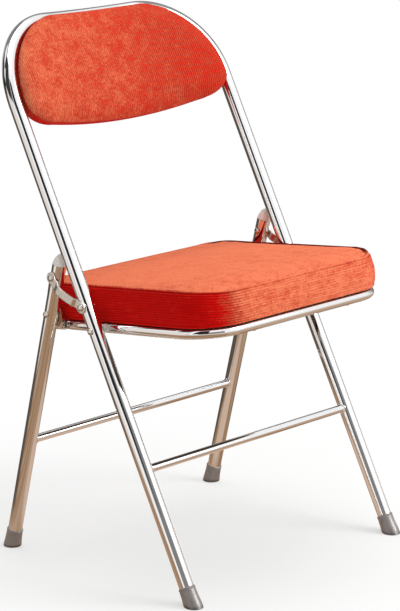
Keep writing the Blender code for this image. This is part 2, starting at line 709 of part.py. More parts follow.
def back_ring(depth, side_inset, top_inset, bottom_inset, scale=1.0):
    """Ring of the back pad: insets from the hoop's axis and the pad's lower edge, depth to the front."""
    wide = HOOP_RADIUS - side_inset
    tall = HOOP_RADIUS - top_inset
    half = HOOP_BEND_X + wide
    low = BACK_BOTTOM + bottom_inset
    corner = max(BACK_CORNER_R - bottom_inset, BACK_CORNER_R / 5)
    corner_x = half - corner
    corner_z = low + BACK_BOTTOM_SAG + corner
    right = [(corner_x * k / 4, low + BACK_BOTTOM_SAG * (k / 4) ** 2) for k in range(1, 4)]
    right += arc(corner_x, corner_z, corner, -90, 0, 5)
    right += [(HOOP_BEND_X + wide * math.cos(a), HOOP_BEND_Z + tall * math.sin(a))
              for a in (math.radians(90 * i / 10) for i in range(11))]
    right.append((HOOP_BEND_X / 2, HOOP_BEND_Z + tall))
    left = [(-x, z) for x, z in reversed(right)]
    outline = [(0, low)] + right + [(0, HOOP_BEND_Z + tall)] + left
    return [Vector((x * scale, bow(x * scale) - depth, BACK_MIDDLE + (z - BACK_MIDDLE) * scale))
            for x, z in outline]


def back_point(depth):
    return [Vector((0, bow(0) - depth, BACK_MIDDLE))]


plug = TUBE_R + BACK_PLUG_CLEAR
side_lip = plug - BACK_SIDE_LIP
top_lip = plug - BACK_TOP_LIP
lip_depth = TUBE_R + BACK_PLUG_CLEAR
pad_depth = BACK_FRONT - lip_depth
recess = plug + BACK_BOARD_INSET
recess_depth = BACK_BOARD_T - BACK_PLUG_REAR + FIT
back_rings = [
    back_point(recess_depth),
    back_ring(recess_depth, recess, recess, BACK_BOARD_INSET, 0.4),
    back_ring(recess_depth, recess, recess, BACK_BOARD_INSET, 0.75),
    back_ring(recess_depth, recess, recess, BACK_BOARD_INSET),
    back_ring(-BACK_PLUG_REAR, recess, recess, BACK_BOARD_INSET),
    back_ring(-BACK_PLUG_REAR, plug + BACK_REAR_EDGE_R, plug + BACK_REAR_EDGE_R, BACK_REAR_EDGE_R),
    back_ring(BACK_REAR_EDGE_R - BACK_PLUG_REAR, plug, plug, 0),
    back_ring(lip_depth - BACK_REAR_EDGE_R, plug, plug, 0),
    back_ring(lip_depth, side_lip + 0.05 * BACK_EDGE_R, top_lip + 0.05 * BACK_EDGE_R, -0.03 * BACK_EDGE_R),
    back_ring(lip_depth + 0.15 * pad_depth, side_lip, top_lip - 0.05 * BACK_EDGE_R, -0.05 * BACK_EDGE_R),
    back_ring(lip_depth + 0.38 * pad_depth, side_lip + 0.10 * BACK_EDGE_R, top_lip + 0.05 * BACK_EDGE_R,
              0.04 * BACK_EDGE_R),
    back_ring(lip_depth + 0.62 * pad_depth, side_lip + 0.38 * BACK_EDGE_R, top_lip + 0.32 * BACK_EDGE_R,
              0.32 * BACK_EDGE_R),
    back_ring(lip_depth + 0.82 * pad_depth, side_lip + BACK_EDGE_R, top_lip + 0.9 * BACK_EDGE_R,
              0.9 * BACK_EDGE_R),
    back_ring(lip_depth + 0.95 * pad_depth, side_lip + BACK_EDGE_R, top_lip + 0.9 * BACK_EDGE_R,
              0.9 * BACK_EDGE_R, 0.7),
    back_ring(BACK_FRONT, side_lip + BACK_EDGE_R, top_lip + 0.9 * BACK_EDGE_R, 0.9 * BACK_EDGE_R, 0.35),
    back_point(BACK_FRONT)]
add_part("back_cushion", loft_mesh("back_cushion", back_rings), CORDUROY, front_axes)

board_edge = recess + FIT
board_bottom = BACK_BOARD_INSET + FIT
board_front = BACK_BOARD_T - BACK_PLUG_REAR
board_faces = [[back_ring(depth, board_edge, board_edge, board_bottom, scale) for scale in (0.4, 0.75, 1.0)]
               for depth in (board_front, -BACK_PLUG_REAR)]
board_rings = ([back_point(board_front)] + board_faces[0] + board_faces[1][::-1]
               + [back_point(-BACK_PLUG_REAR)])
back_board = add_part("back_board", loft_mesh("back_board", board_rings), PLYWOOD, front_axes)


# Back tabs: small plates welded inside the hoop, screwed to the board from behind

hoop_guide = add_cutter("hoop_guide",
                        tube_mesh("hoop_guide", hoop_points(TUBE_LIFT), TUBE_R + FIT, TUBE_RES, capped=True),
                        front_axes)


def hoop_x(up):
    """Half width of the hoop's axis at a distance up the front tube."""
    over = max(up - HOOP_BEND_Z, 0)
    return HOOP_BEND_X + math.sqrt(HOOP_RADIUS ** 2 - over ** 2)


def add_tab(name, side, up):
    outer = hoop_x(up)
    inner = outer - board_edge - TAB_OVERLAP
    # a plate cut in five strips across, so that it follows the bow of the board
    steps = 5
    rings = []
    for k in range(steps + 1):
        x = side * (inner + (outer - inner) * k / steps)
        y = bow(x) + BACK_TAB_FRONT
        low = up - TAB_HEIGHT / 2
        high = up + TAB_HEIGHT / 2
        rings.append([Vector((x, y, low)), Vector((x, y + TAB_THICK, low)),
                      Vector((x, y + TAB_THICK, high)), Vector((x, y, high))])
    ends = [[sum(ring, Vector()) / 4] for ring in (rings[0], rings[-1])]
    tab = add_part(name, loft_mesh(name, ends[:1] + rings + ends[1:]), ZINC, front_axes)
    boolean(tab, hoop_guide)
    screw_x = side * (inner + TAB_OVERLAP / 2)
    slope = -2 * HOOP_BOW * screw_x / HALF_TRACK ** 2
    grip = TAB_THICK + 2 * FIT
    # local Z of the screw points forwards, square to the bowed board
    turn = Matrix.Rotation(math.atan(slope), 3, "Z") @ Matrix.Rotation(math.pi / 2, 3, "X")
    shoulder = Vector((screw_x, bow(screw_x) + BACK_TAB_FRONT + TAB_THICK + FIT, up))
    screw_name = name.replace("tab", "screw")
    rotation = turn.to_euler()
    add_part(screw_name, screw_mesh(screw_name, grip, BACK_SCREW_BITE), ZINC, front_axes, shoulder, rotation)
    hole = add_cutter(f"{screw_name}_hole",
                      rod_mesh(f"{screw_name}_hole", SCREW_D / 2 + FIT, -grip, grip + BACK_SCREW_BITE + FIT),
                      front_axes, shoulder, rotation)
    boolean(tab, hole)
    boolean(back_board, hole)


for side in (-1, 1):
    for label, share in (("lower", TAB_LOWER_SHARE), ("upper", TAB_UPPER_SHARE)):
        add_tab(f"back_tab_{label}_{side_name(side)}", side, BACK_BOTTOM + share * BACK_HEIGHT)
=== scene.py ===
"""Padded folding chair: chrome tube frame, corduroy seat and back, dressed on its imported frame.

Metres, +Z up. The chair faces -Y; left in names is -X, as seen from in front.
"""
import json
from math import atan2, cos, pi, radians, sin, sqrt

import bpy
import bmesh
import numpy as np
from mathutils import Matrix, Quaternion, Vector

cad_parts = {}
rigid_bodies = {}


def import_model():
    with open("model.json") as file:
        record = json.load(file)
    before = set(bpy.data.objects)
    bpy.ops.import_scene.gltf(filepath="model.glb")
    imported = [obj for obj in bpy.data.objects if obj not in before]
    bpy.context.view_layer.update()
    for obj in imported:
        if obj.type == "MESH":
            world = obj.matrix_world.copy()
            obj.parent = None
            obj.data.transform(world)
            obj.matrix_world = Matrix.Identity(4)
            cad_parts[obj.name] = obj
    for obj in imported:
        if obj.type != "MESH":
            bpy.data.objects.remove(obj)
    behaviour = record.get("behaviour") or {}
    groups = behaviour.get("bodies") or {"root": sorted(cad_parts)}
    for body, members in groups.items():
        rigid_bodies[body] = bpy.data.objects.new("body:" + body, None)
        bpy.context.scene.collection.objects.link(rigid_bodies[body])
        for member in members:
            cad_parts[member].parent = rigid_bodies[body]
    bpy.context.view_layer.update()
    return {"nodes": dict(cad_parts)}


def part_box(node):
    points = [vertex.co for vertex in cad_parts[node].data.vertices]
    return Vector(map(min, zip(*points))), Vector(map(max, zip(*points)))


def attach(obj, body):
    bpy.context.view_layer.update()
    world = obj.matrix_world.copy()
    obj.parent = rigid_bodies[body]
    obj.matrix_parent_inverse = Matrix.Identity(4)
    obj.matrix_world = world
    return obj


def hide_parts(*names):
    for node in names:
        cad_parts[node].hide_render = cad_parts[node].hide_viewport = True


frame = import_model()
scene = bpy.context.scene
scene.view_settings.view_transform = "Standard"


# Camera: a long lens, a little above the seat, off the chair's front left corner. The lens's
# middle lies a little above and right of the picture's.
AIM = Vector((0.0, -0.0223, 0.405))
CAMERA_AZIMUTH, CAMERA_ELEVATION = radians(-46.26), radians(13.32)
CAMERA_DISTANCE = 3.676
CAMERA_ROLL = radians(-0.15)
CAMERA_REACH = 60
PHOTO_WIDTH = 400
FOCAL_PIXELS = 2498.4
LENS_CENTRE_RIGHT, LENS_CENTRE_UP = 2.4, 28.0

objects = scene.collection.objects
toward_camera = Vector((sin(CAMERA_AZIMUTH) * cos(CAMERA_ELEVATION),
                        -cos(CAMERA_AZIMUTH) * cos(CAMERA_ELEVATION),
                        sin(CAMERA_ELEVATION)))
lens = bpy.data.cameras.new("camera")
lens.sensor_fit = "HORIZONTAL"
lens.lens = FOCAL_PIXELS * lens.sensor_width / PHOTO_WIDTH
lens.shift_x = -LENS_CENTRE_RIGHT / PHOTO_WIDTH
lens.shift_y = -LENS_CENTRE_UP / PHOTO_WIDTH
lens.clip_end = CAMERA_REACH
camera = bpy.data.objects.new("camera", lens)
camera.location = AIM + toward_camera * CAMERA_DISTANCE
camera.rotation_mode = "QUATERNION"
camera.rotation_quaternion = ((-toward_camera).to_track_quat("-Z", "Y")
                              @ Quaternion((0, 0, 1), CAMERA_ROLL))
objects.link(camera)
scene.camera = camera


# Studio: a pale floor under an even white dome, with a large soft lamp from the front right and
# another overhead. Polished metal sees boards that glow round the chair, with painted light toward
# the key lamp, and a room with a dim back.
ROOM_WHITE = (1.0, 1.0, 1.0, 1)
ROOM_DARK = (0.022, 0.021, 0.021, 1)
ROOM_BACK = (0.26, 0.25, 0.24, 1)
ROOM_CEILING = (0.34, 0.335, 0.33, 1)
ROOM_FILL, ROOM_IN_METAL = 0.48, 1.02
# Degrees of middle, half width and softness; sines of the lower and upper height; colour.
ROOM_PATCHES = [(52, 42, 20, -0.9, 0.62, ROOM_BACK), (6, 14, 8, 0.36, 0.93, ROOM_CEILING),
                (-15, 45, 10, 0.82, 0.96, ROOM_CEILING), (-42, 40, 8, -0.2, 0.34, ROOM_DARK)]
PATCH_SOFT = 0.08
FLOOR_HALF, FLOOR_DROP = 14.0, 0.0003
FLOOR_PALE = (0.88, 0.875, 0.865, 1)
FLOOR_BOARDS = (0.34, 0.198, 0.105, 1)
FLOOR_PLANK_AND_PAINTED_LIGHT = (0.72, 0.54, 0.42, 1)
FLOOR_AWAY = (0.86, 0.80, 0.74, 1)
FLOOR_BEHIND = (0.105, 0.085, 0.068, 1)
PLANK_SCALE = (9.0, 0.8, 1.0)
KEY_WAY = (0.6, -0.8)
BEHIND_MIDDLE, BEHIND_INNER, BEHIND_OUTER = radians(13), radians(59), radians(77)
# Name, place, width, power, what it is aimed at.
LAMPS = [("key_lamp", (1.6, -2.6, 2.2), 1.8, 78, (0, 0, 0.45)),
         ("top_lamp", (0.3, 0.2, 3.2), 2.4, 45, (0, 0, 0.4))]


class Wire:
    """One output of a node. Reckoning with it adds the nodes that work out the result."""

    def __init__(self, node, output=0):
        self.node = node
        self.tree = node.id_data
        self.socket = node.outputs[output] if node.outputs else None

    def __getitem__(self, output):
        return Wire(self.node, output)

    def work(self, operation, *others):
        return add_node(self.tree, "Math", enumerate((self, *others)), operation=operation)

    def __add__(self, other):
        return self.work("ADD", other)

    def __sub__(self, other):
        return self.work("SUBTRACT", other)

    def __rsub__(self, other):
        return self * -1.0 + other

    def __mul__(self, other):
        return self.work("MULTIPLY", other)

    def __abs__(self):
        return self.work("ABSOLUTE")

    def step(self, low, high, out_low=0.0, out_high=1.0):
        """Smooth change from one value to another between two readings."""
        return add_node(self.tree, "MapRange",
                        {"Value": self, "From Min": low, "From Max": high,
                         "To Min": out_low, "To Max": out_high}, interpolation_type="SMOOTHSTEP")

    def mix(self, first, second):
        """Colour between two, by this share of the second."""
        return add_node(self.tree, "Mix", {0: self, 6: first, 7: second}, 2, data_type="RGBA")

    def blend(self, first, second):
        """Shader between two, by this share of the second."""
        return add_node(self.tree, "MixShader", {0: self, 1: first, 2: second})


def add_node(tree, kind, inputs=(), output=0, **settings):
    """A node of a tree's own family, with its settings and input values; a wire makes a link."""
    family = "GeometryNode" if tree.type == "GEOMETRY" else "ShaderNode"
    node = tree.nodes.new(kind if "Node" in kind else family + kind)
    for key, value in settings.items():
        setattr(node, key, value)
    for key, value in dict(inputs).items():
        if isinstance(value, Wire):
            tree.links.new(value.socket, node.inputs[key])
        else:
            node.inputs[key].default_value = value
    return Wire(node, output)


def noise(place, scale, detail=2.0, **more):
    """Cloudy pattern; three scales stretch it differently along the three axes."""
    if isinstance(scale, tuple):
        place = add_node(place.tree, "VectorMath", {0: place, 1: scale}, operation="MULTIPLY")
        scale = 1.0
    return add_node(place.tree, "TexNoise",
                    {"Vector": place, "Scale": scale, "Detail": detail, **more})


def bare_material(name):
    """Material without a node, its tree and the kinds of rays that meet it."""
    paint = bpy.data.materials.new(name)
    paint.use_nodes = True
    paint.node_tree.nodes.clear()
    return paint, paint.node_tree, add_node(paint.node_tree, "LightPath")


def add_sheet(name, corners, paint, drop=0.0):
    """Flat sheet of the stage between four corners."""
    mesh = bpy.data.meshes.new(name)
    mesh.from_pydata([tuple(corner) for corner in corners], [], [(0, 1, 2, 3)])
    mesh.materials.append(paint)
    sheet = bpy.data.objects.new(name, mesh)
    sheet.location = (0, 0, -drop)
    objects.link(sheet)


world = bpy.data.worlds.new("studio")
scene.world = world
world.use_nodes = True
room = world.node_tree
room.nodes.clear()
ray = add_node(room, "LightPath")
heading = add_node(room, "SeparateXYZ",
                   {0: add_node(room, "TexCoord", output="Generated")})
azimuth = heading[0].work("ARCTAN2", heading[1])
metal_view = ROOM_WHITE
for middle, half, soft, low, high, color in ROOM_PATCHES:
    off = abs(azimuth - radians(middle))
    wide = off.step(radians(half - soft), radians(half + soft), 1.0, 0.0)
    above = heading[2].step(low - PATCH_SOFT, low + PATCH_SOFT)
    below = heading[2].step(high - PATCH_SOFT, high + PATCH_SOFT, 1.0, 0.0)
    metal_view = (wide * (above * below)).mix(metal_view, color)
white = add_node(room, "Background", {"Color": ROOM_WHITE})
fill = add_node(room, "Background", {"Color": ROOM_WHITE, "Strength": ROOM_FILL})
bright = add_node(room, "Background", {"Color": metal_view, "Strength": ROOM_IN_METAL})
clear_ray = ray["Is Camera Ray"].work("MAXIMUM", ray["Is Transmission Ray"])
add_node(room, "OutputWorld",
         {0: clear_ray.blend(ray["Is Glossy Ray"].blend(fill, bright), white)})

paint, tree, ray = bare_material("floor_paint")
place = add_node(tree, "TexCoord", output="Object")
spot = add_node(tree, "SeparateXYZ", {0: place})
reach = add_node(tree, "VectorMath", {0: place}, "Value", operation="LENGTH")
toward_key = spot[0] * KEY_WAY[0] + spot[1] * KEY_WAY[1]
off_behind = abs(spot[0].work("ARCTAN2", spot[1]) - BEHIND_MIDDLE)
behind = off_behind.step(BEHIND_INNER, BEHIND_OUTER, 1.0, 0.0) * reach.step(0.35, 0.55)
boards = noise(place, PLANK_SCALE).step(0.40, 0.66, 0.0, 0.40).mix(FLOOR_BOARDS, FLOOR_PLANK_AND_PAINTED_LIGHT)
# Boards seen only in metal glow: painted light makes them paler toward the key lamp and under the chair's
# middle.
boards = toward_key.step(0.2, 0.8, 0.0, 0.5).mix(boards, FLOOR_PLANK_AND_PAINTED_LIGHT)
boards = reach.step(1.2, 2.2).mix(boards, FLOOR_AWAY)
boards = behind.mix(boards, FLOOR_BEHIND)
boards = reach.step(0.16, 0.27, 0.8, 0.0).mix(boards, FLOOR_PLANK_AND_PAINTED_LIGHT)
clear_ray = ray["Is Camera Ray"].work("MAXIMUM", ray["Is Transmission Ray"])
seen = (reach.step(0.30, 0.80, 0.55, 1.0) * clear_ray).blend(
    add_node(tree, "BsdfDiffuse", {"Color": FLOOR_PALE}),
    add_node(tree, "Emission", {"Color": ROOM_WHITE}))
mirrored = add_node(tree, "Emission", {"Color": boards})
add_node(tree, "OutputMaterial", {0: ray["Is Glossy Ray"].blend(seen, mirrored)})
add_sheet("studio_floor", [(-FLOOR_HALF, -FLOOR_HALF, 0), (FLOOR_HALF, -FLOOR_HALF, 0),
                           (FLOOR_HALF, FLOOR_HALF, 0), (-FLOOR_HALF, FLOOR_HALF, 0)], paint, FLOOR_DROP)

for name, place, size, power, aim in LAMPS:
    lamp = bpy.data.lights.new(name, "AREA")
    lamp.shape = "RECTANGLE"
    lamp.size = lamp.size_y = size
    lamp.energy = power
    holder = bpy.data.objects.new(name, lamp)
    holder.location = place
    holder.rotation_euler = (Vector(aim) - Vector(place)).to_track_quat("-Z", "Y").to_euler()
    objects.link(holder)


# Cards: eight upright boards that face the chair and are seen only in polished metal. One white
# and three grey ones brighten the tubes, four dark ones draw the dark streaks along them.
CARD_BLACK = (0.045, 0.044, 0.043, 1)
CARD_GREY = (0.24, 0.235, 0.23, 1)
CARD_PALE = (0.31, 0.305, 0.30, 1)
# Name, azimuth in degrees, distance, both sides, both heights, colour.
CARDS = [("white_card", -128, 1.25, (-0.90, 0.16), (0.0, 0.92), FLOOR_AWAY),
         ("grey_card", -34, 1.6, (-0.66, 1.05), (0.30, 1.16), CARD_GREY),
         ("dark_card", -62, 1.2, (-0.34, 0.34), (0.50, 2.30), ROOM_DARK),
         ("side_card", -90, 0.75, (-0.02, 0.60), (0.86, 2.50), CARD_BLACK),
         ("high_card", -90, 0.75, (0.60, 0.90), (1.30, 2.50), CARD_BLACK),
         ("corner_card", 180, 0.75, (-0.62, -0.20), (0.80, 1.13), CARD_BLACK),
         ("right_card", 90, 0.60, (-0.50, 0.02), (0.86, 1.35), CARD_PALE),
         ("rear_card", 180, 0.45, (-0.22, 0.05), (0.82, 1.30), CARD_GREY)]

for name, degrees, away, (one, two), (low, high), color in CARDS:
    way = Vector((sin(radians(degrees)), -cos(radians(degrees)), 0))
    along = Vector((way.y, -way.x, 0))
    paint, tree, ray = bare_material(f"{name}_paint")
    shown = ray["Is Glossy Ray"].blend(add_node(tree, "BsdfTransparent"),
                                       add_node(tree, "Emission", {"Color": color}))
    add_node(tree, "OutputMaterial", {0: shown})
    add_sheet(name, [way * away + along * side + Vector((0, 0, up))
                     for side, up in ((one, low), (two, low), (two, high), (one, high))], paint)


# Front frame: one steel tube bent into two legs, two uprights and the backrest hoop, polished
# and chrome plated. The hoop is bowed back a little between the uprights.
TUBE_RADIUS, TUBE_LIFT = 0.0105, 0.010
TUBE_SIDES, TUBE_SHARP = 40, radians(40)
HALF_TRACK = 0.2162
FRONT_FLOOR = Vector((0, -0.2103, 0))
FRONT_LEAN = radians(27.5)
HOOP_TOP, HOOP_RADIUS, HOOP_BOW = 0.881, 0.126, 0.021
LEG_FROM, LEG_TO, LEG_STEPS = 0.10, HOOP_TOP - HOOP_RADIUS - 0.02, 20
BEND_STEPS, TOP_STEPS = 48, 26
PLATE_BRIGHT, PLATE_PITTED = (0.86, 0.86, 0.87, 1), (0.42, 0.40, 0.38, 1)


def leaning_plane(origin, lean):
    """Makes world points from distances across, behind a plane that leans back and up along it."""
    def point(x, behind, up):
        return origin + Vector((x, up * sin(lean) + behind * cos(lean),
                                up * cos(lean) - behind * sin(lean)))
    return point


front_point = leaning_plane(FRONT_FLOOR, FRONT_LEAN)


def bow(x):
    """How far the hoop lies behind its side planes at a distance from the middle."""
    return HOOP_BOW * (1 - (x / HALF_TRACK) ** 2)


def arc(x, y, radius, start, end, steps):
    """Points on an arc between two angles in degrees."""
    turns = np.radians(np.linspace(start, end, steps + 1))
    return [(x + radius * cos(t), y + radius * sin(t)) for t in turns]


def new_group(name, **sockets):
    """Geometry node group with named inputs of the given kinds, and the node that gives them."""
    group = bpy.data.node_groups.new(name, "GeometryNodeTree")
    for socket, kind in sockets.items():
        group.interface.new_socket(socket, in_out="INPUT", socket_type=f"NodeSocket{kind}")
    group.interface.new_socket("Made", in_out="OUTPUT", socket_type="NodeSocketGeometry")
    return group, add_node(group, "NodeGroupInput")


def end_group(group, given, made):
    """Make real what a group has made, with the finish it was given."""
    whole = add_node(group, "RealizeInstances", {0: made})
    finished = add_node(group, "SetMaterial", {"Geometry": whole, "Material": given["Finish"]})
    add_node(group, "NodeGroupOutput", {0: finished})
    return group


def tube_group():
    """Sweeps a round section along each path of edges and caps its ends."""
    group, given = new_group("round_tube", Path="Geometry", Radius="Float", Sides="Int",
                             Finish="Material")
    path = add_node(group, "MeshToCurve", {"Mesh": given["Path"]})
    girth = add_node(group, "InputNamedAttribute", {"Name": "girth"}, data_type="FLOAT")
    wide = add_node(group, "Switch",
                    {0: girth["Exists"], 1: 1.0, 2: girth["Attribute"]}, input_type="FLOAT")
    section = add_node(group, "CurvePrimitiveCircle",
                       {"Resolution": given["Sides"], "Radius": given["Radius"]})
    swept = add_node(group, "CurveToMesh",
                     {"Curve": path, "Profile Curve": section, "Scale": wide, "Fill Caps": True})
    return end_group(group, given, add_node(group, "SetShadeSmooth", {"Geometry": swept}))


TUBE_GROUP = tube_group()


def write_mesh(bm, mesh):
    """Write a worked shape into a mesh, facing outwards."""
    bmesh.ops.recalc_face_normals(bm, faces=bm.faces)
    bm.to_mesh(mesh)
    bm.free()


def plain_mesh(maker):
    """Turn an object with modifiers into a plain mesh object that faces outwards."""
    objects.link(maker)
    depsgraph = bpy.context.evaluated_depsgraph_get()
    mesh = bpy.data.meshes.new_from_object(maker.evaluated_get(depsgraph))
    name = maker.name
    bpy.data.objects.remove(maker, do_unlink=True)
    bm = bmesh.new()
    bm.from_mesh(mesh)
    bmesh.ops.remove_doubles(bm, verts=bm.verts, dist=1e-6)
    write_mesh(bm, mesh)
    mesh.name = name
    piece = bpy.data.objects.new(name, mesh)
    objects.link(piece)
    return piece


def run_group(name, mesh, group, **values):
    """Plain mesh object that a node group makes; values go in by the identifier of each named socket."""
    maker = bpy.data.objects.new(name, mesh)
    modifier = maker.modifiers.new(group.name, "NODES")
    modifier.node_group = group
    for item in group.interface.items_tree:
        if item.item_type == "SOCKET" and item.in_out == "INPUT" and item.name in values:
            modifier[item.identifier] = values[item.name]
    return plain_mesh(maker)


def store(mesh, **layers):
    """Keep named numbers for each vertex."""
    for name, values in layers.items():
        layer = mesh.attributes.new(name, "FLOAT", "POINT")
        layer.data.foreach_set("value", np.asarray(values, dtype=np.float32))


def sweep_tube(name, paths, radius, finish, closed=False, sides=TUBE_SIDES, girths=None):
    """Tubes along several paths, as one plain mesh; girths give a path's own radius at each point."""
    points, edges = [], []
    for path in paths:
        first = len(points)
        points += [tuple(p) for p in path]
        edges += [(first + i, first + i + 1) for i in range(len(path) - 1)]
        if closed:
            edges.append((first + len(path) - 1, first))
    mesh = bpy.data.meshes.new(name)
    mesh.from_pydata(points, edges, [])
    if girths:
        store(mesh, girth=np.concatenate(girths))
    piece = run_group(name, mesh, TUBE_GROUP, Radius=radius, Sides=sides, Finish=finish)
    piece.data.set_sharp_from_angle(angle=TUBE_SHARP)
    return piece


def new_material(name, even=()):
    """Material with its even values set, and the wire of the place on the object."""
    material = bpy.data.materials.new(name)
    material.use_nodes = True
    for key, value in dict(even).items():
        material.node_tree.nodes["Principled BSDF"].inputs[key].default_value = value
    return material, add_node(material.node_tree, "TexCoord", output="Object")


def lead_in(material, color, dullness, height, strength, depth):
    """Lead the colour, the roughness and the height of a bump into a material's shader."""
    tree = material.node_tree
    bump = add_node(tree, "Bump", {"Strength": strength, "Distance": depth, "Height": height})
    for key, wire in (("Base Color", color), ("Roughness", dullness), ("Normal", bump)):
        if wire:
            tree.links.new(wire.socket, tree.nodes["Principled BSDF"].inputs[key])
    return material


def chrome_material():
    """Bright plate: faint haze, hairlines along the polishing and a few dull specks."""
    material, spot = new_material("chrome_plate", {"Metallic": 1.0})
    haze, hair = noise(spot, 38.0, 5.0), noise(spot, 1500.0)
    speck = add_node(spot.tree, "TexVoronoi", {"Vector": spot, "Scale": 260.0}, "Distance")
    pitted = speck.step(0.05, 0.10, 1.0, 0.0) * haze.step(0.52, 0.66)
    dull = haze.step(0.35, 0.75, 0.035, 0.085) + pitted * 0.25
    return lead_in(material, pitted.mix(PLATE_BRIGHT, PLATE_PITTED), dull, hair, 0.015, 0.0002)


CHROME = chrome_material()
bend_x, bend_z = HALF_TRACK - HOOP_RADIUS, HOOP_TOP - HOOP_RADIUS
left_side = [(-HALF_TRACK, TUBE_LIFT)]
left_side += [(-HALF_TRACK, z) for z in np.linspace(LEG_FROM, LEG_TO, LEG_STEPS)]
left_side += arc(-bend_x, bend_z, HOOP_RADIUS, 180, 90, BEND_STEPS)
top_run = [(x, HOOP_TOP) for x in np.linspace(-bend_x, bend_x, TOP_STEPS)[1:-1]]
hoop = left_side + top_run + [(-x, z) for x, z in reversed(left_side)]
front_tube = sweep_tube("front_tube", [[front_point(x, bow(x), z) for x, z in hoop]], TUBE_RADIUS, CHROME)
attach(front_tube, "front_frame")
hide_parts("front_frame_tube")


# Crossbars: thin tube stretchers, one between the front legs and one between the rear legs,
# coped and brazed to them with a small bead of metal round each end.
BAR_RADIUS, BAR_SIDES, BAR_STEPS = 0.006, 32, 24
BAR_REACH = HALF_TRACK - TUBE_RADIUS * 0.9
FRONT_BAR_UP, REAR_BAR_UP = 0.2022, 0.1788
REAR_FLOOR = FRONT_FLOOR + Vector((0, 0.3765, 0))
REAR_LEAN = radians(14.2)
BEAD_RADIUS, BEAD_OFF, BEAD_SIDES, BEAD_STEPS = 0.0013, 0.0003, 12, 40
BEAD_WAVES = ((0.05, 7, 0.0), (0.04, 11, 1.0))
rear_point = leaning_plane(REAR_FLOOR, -REAR_LEAN)


def bar_bead(side, middle, leg_way):
    """Closed path where the thin bar meets the leg, for the bead of braze round it."""
    across = leg_way.cross(Vector((1, 0, 0)))
    path = []
    for turn in np.linspace(0, 2 * pi, BEAD_STEPS, endpoint=False):
        ridge = 1 + sum(size * sin(count * turn + start) for size, count, start in BEAD_WAVES)
        out = (BAR_RADIUS + BEAD_OFF) * ridge
        off = out * sin(turn)
        x = HALF_TRACK - sqrt((TUBE_RADIUS + BEAD_OFF) ** 2 - off ** 2)
        path.append(Vector((side * x, middle.y, middle.z)) + leg_way * out * cos(turn) + across * off)
    return path


def add_crossbar(name, node, body, point, up):
    """Stretcher at a distance up its legs, with a bead at both ends."""
    leg_way = point(0, 0, 1) - point(0, 0, 0)
    bar = sweep_tube(name, [[point(x, 0, up) for x in np.linspace(-BAR_REACH, BAR_REACH, BAR_STEPS)]],
                     BAR_RADIUS, CHROME, sides=BAR_SIDES)
    bead = sweep_tube(f"{name}_braze", [bar_bead(side, point(0, 0, up), leg_way) for side in (-1, 1)],
                      BEAD_RADIUS, CHROME, closed=True, sides=BEAD_SIDES)
    for piece in (bar, bead):
        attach(piece, body)
    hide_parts(node)


add_crossbar("front_stretcher", "front_crossbar", "front_frame", front_point, FRONT_BAR_UP)
add_crossbar("rear_stretcher", "rear_crossbar", "rear_frame", rear_point, REAR_BAR_UP)


# Rear legs: two straight lengths of the same tube, each closed at the top by a pushed-in bullet
# cap moulded in pale, slightly milky plastic.
SIDES = ((-1, "left"), (1, "right"))
REAR_LEG_TOP, REAR_LEG_STEPS = 0.4635, 24
CAP_FOOT, CAP_RISE, CAP_SHAPE, CAP_STEPS = 0.0006, 0.0161, 1.6, 20
CAP_PALE, CAP_MILKY = (0.92, 0.86, 0.80, 1), (0.97, 0.93, 0.88, 1)


def cap_material():
    """Milky moulded plastic with faint flow marks and a fine satin surface."""
    material, spot = new_material("cap_plastic", {
        "Coat Weight": 0.4, "Coat Roughness": 0.12, "Subsurface Weight": 0.12,
        "Subsurface Radius": (0.004, 0.003, 0.002)})
    flow = noise(spot, 90.0, 4.0)
    return lead_in(material, flow.step(0.3, 0.7).mix(CAP_PALE, CAP_MILKY),
                   flow.step(0.3, 0.7, 0.26, 0.40), noise(spot, 1600.0), 0.06, 0.0002)


CAP_PLASTIC = cap_material()
cap_profile = [(0.0001, TUBE_RADIUS * 0.90), (0.0003, TUBE_RADIUS * 0.985)]
cap_profile += [(CAP_FOOT + CAP_RISE * sin(t) ** CAP_SHAPE, TUBE_RADIUS * cos(t))
                for t in np.radians(np.linspace(0, 90, CAP_STEPS))]
for side, word in SIDES:
    run = [rear_point(side * HALF_TRACK, 0, up)
           for up in np.linspace(TUBE_LIFT, REAR_LEG_TOP, REAR_LEG_STEPS)]
    leg = sweep_tube(f"rear_tube_{word}", [run], TUBE_RADIUS, CHROME)
    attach(leg, "rear_frame")
    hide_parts(f"rear_leg_{word}")
    run = [rear_point(side * HALF_TRACK, 0, REAR_LEG_TOP + up) for up, radius in cap_profile]
    cap = sweep_tube(f"leg_cap_{word}", [run], 1.0, CAP_PLASTIC,
                     girths=[[radius for up, radius in cap_profile]])
    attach(cap, "rear_frame")
    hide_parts(f"rear_cap_{word}")


# Feet: grey plastic sleeves pushed over the tube ends. They flare a little to the floor, have a
# rolled upper rim and a sole moulded level with the floor.
FOOT_LENGTH, FOOT_BELOW = 0.029, 0.0085
FOOT_RIM, FOOT_SOLE = 0.0118, 0.0134
FOOT_PROFILE = [(-FOOT_BELOW - 0.0001, 0.0), (-FOOT_BELOW, FOOT_SOLE), (0.0012, FOOT_SOLE),
                (0.006, FOOT_SOLE - 0.0004), (0.0145, FOOT_RIM + 0.0004),
                (FOOT_LENGTH - 0.0034, FOOT_RIM), (FOOT_LENGTH - 0.0028, FOOT_RIM + 0.0003),
                (FOOT_LENGTH - 0.0012, FOOT_RIM + 0.0003),
                (FOOT_LENGTH - 0.0003, FOOT_RIM - 0.0002), (FOOT_LENGTH, FOOT_RIM - 0.0007),
                (FOOT_LENGTH + 0.0001, TUBE_RADIUS + 0.0002)]
FOOT_STEPS, FOOT_SIDES, FOOT_SHARP = 26, 56, 50
SOLE_EDGE = 0.0007
FOOT_DARK, FOOT_PALE = (0.172, 0.147, 0.134, 1), (0.240, 0.210, 0.197, 1)
FOOT_LOW_DARK = (0.045, 0.038, 0.034, 1)


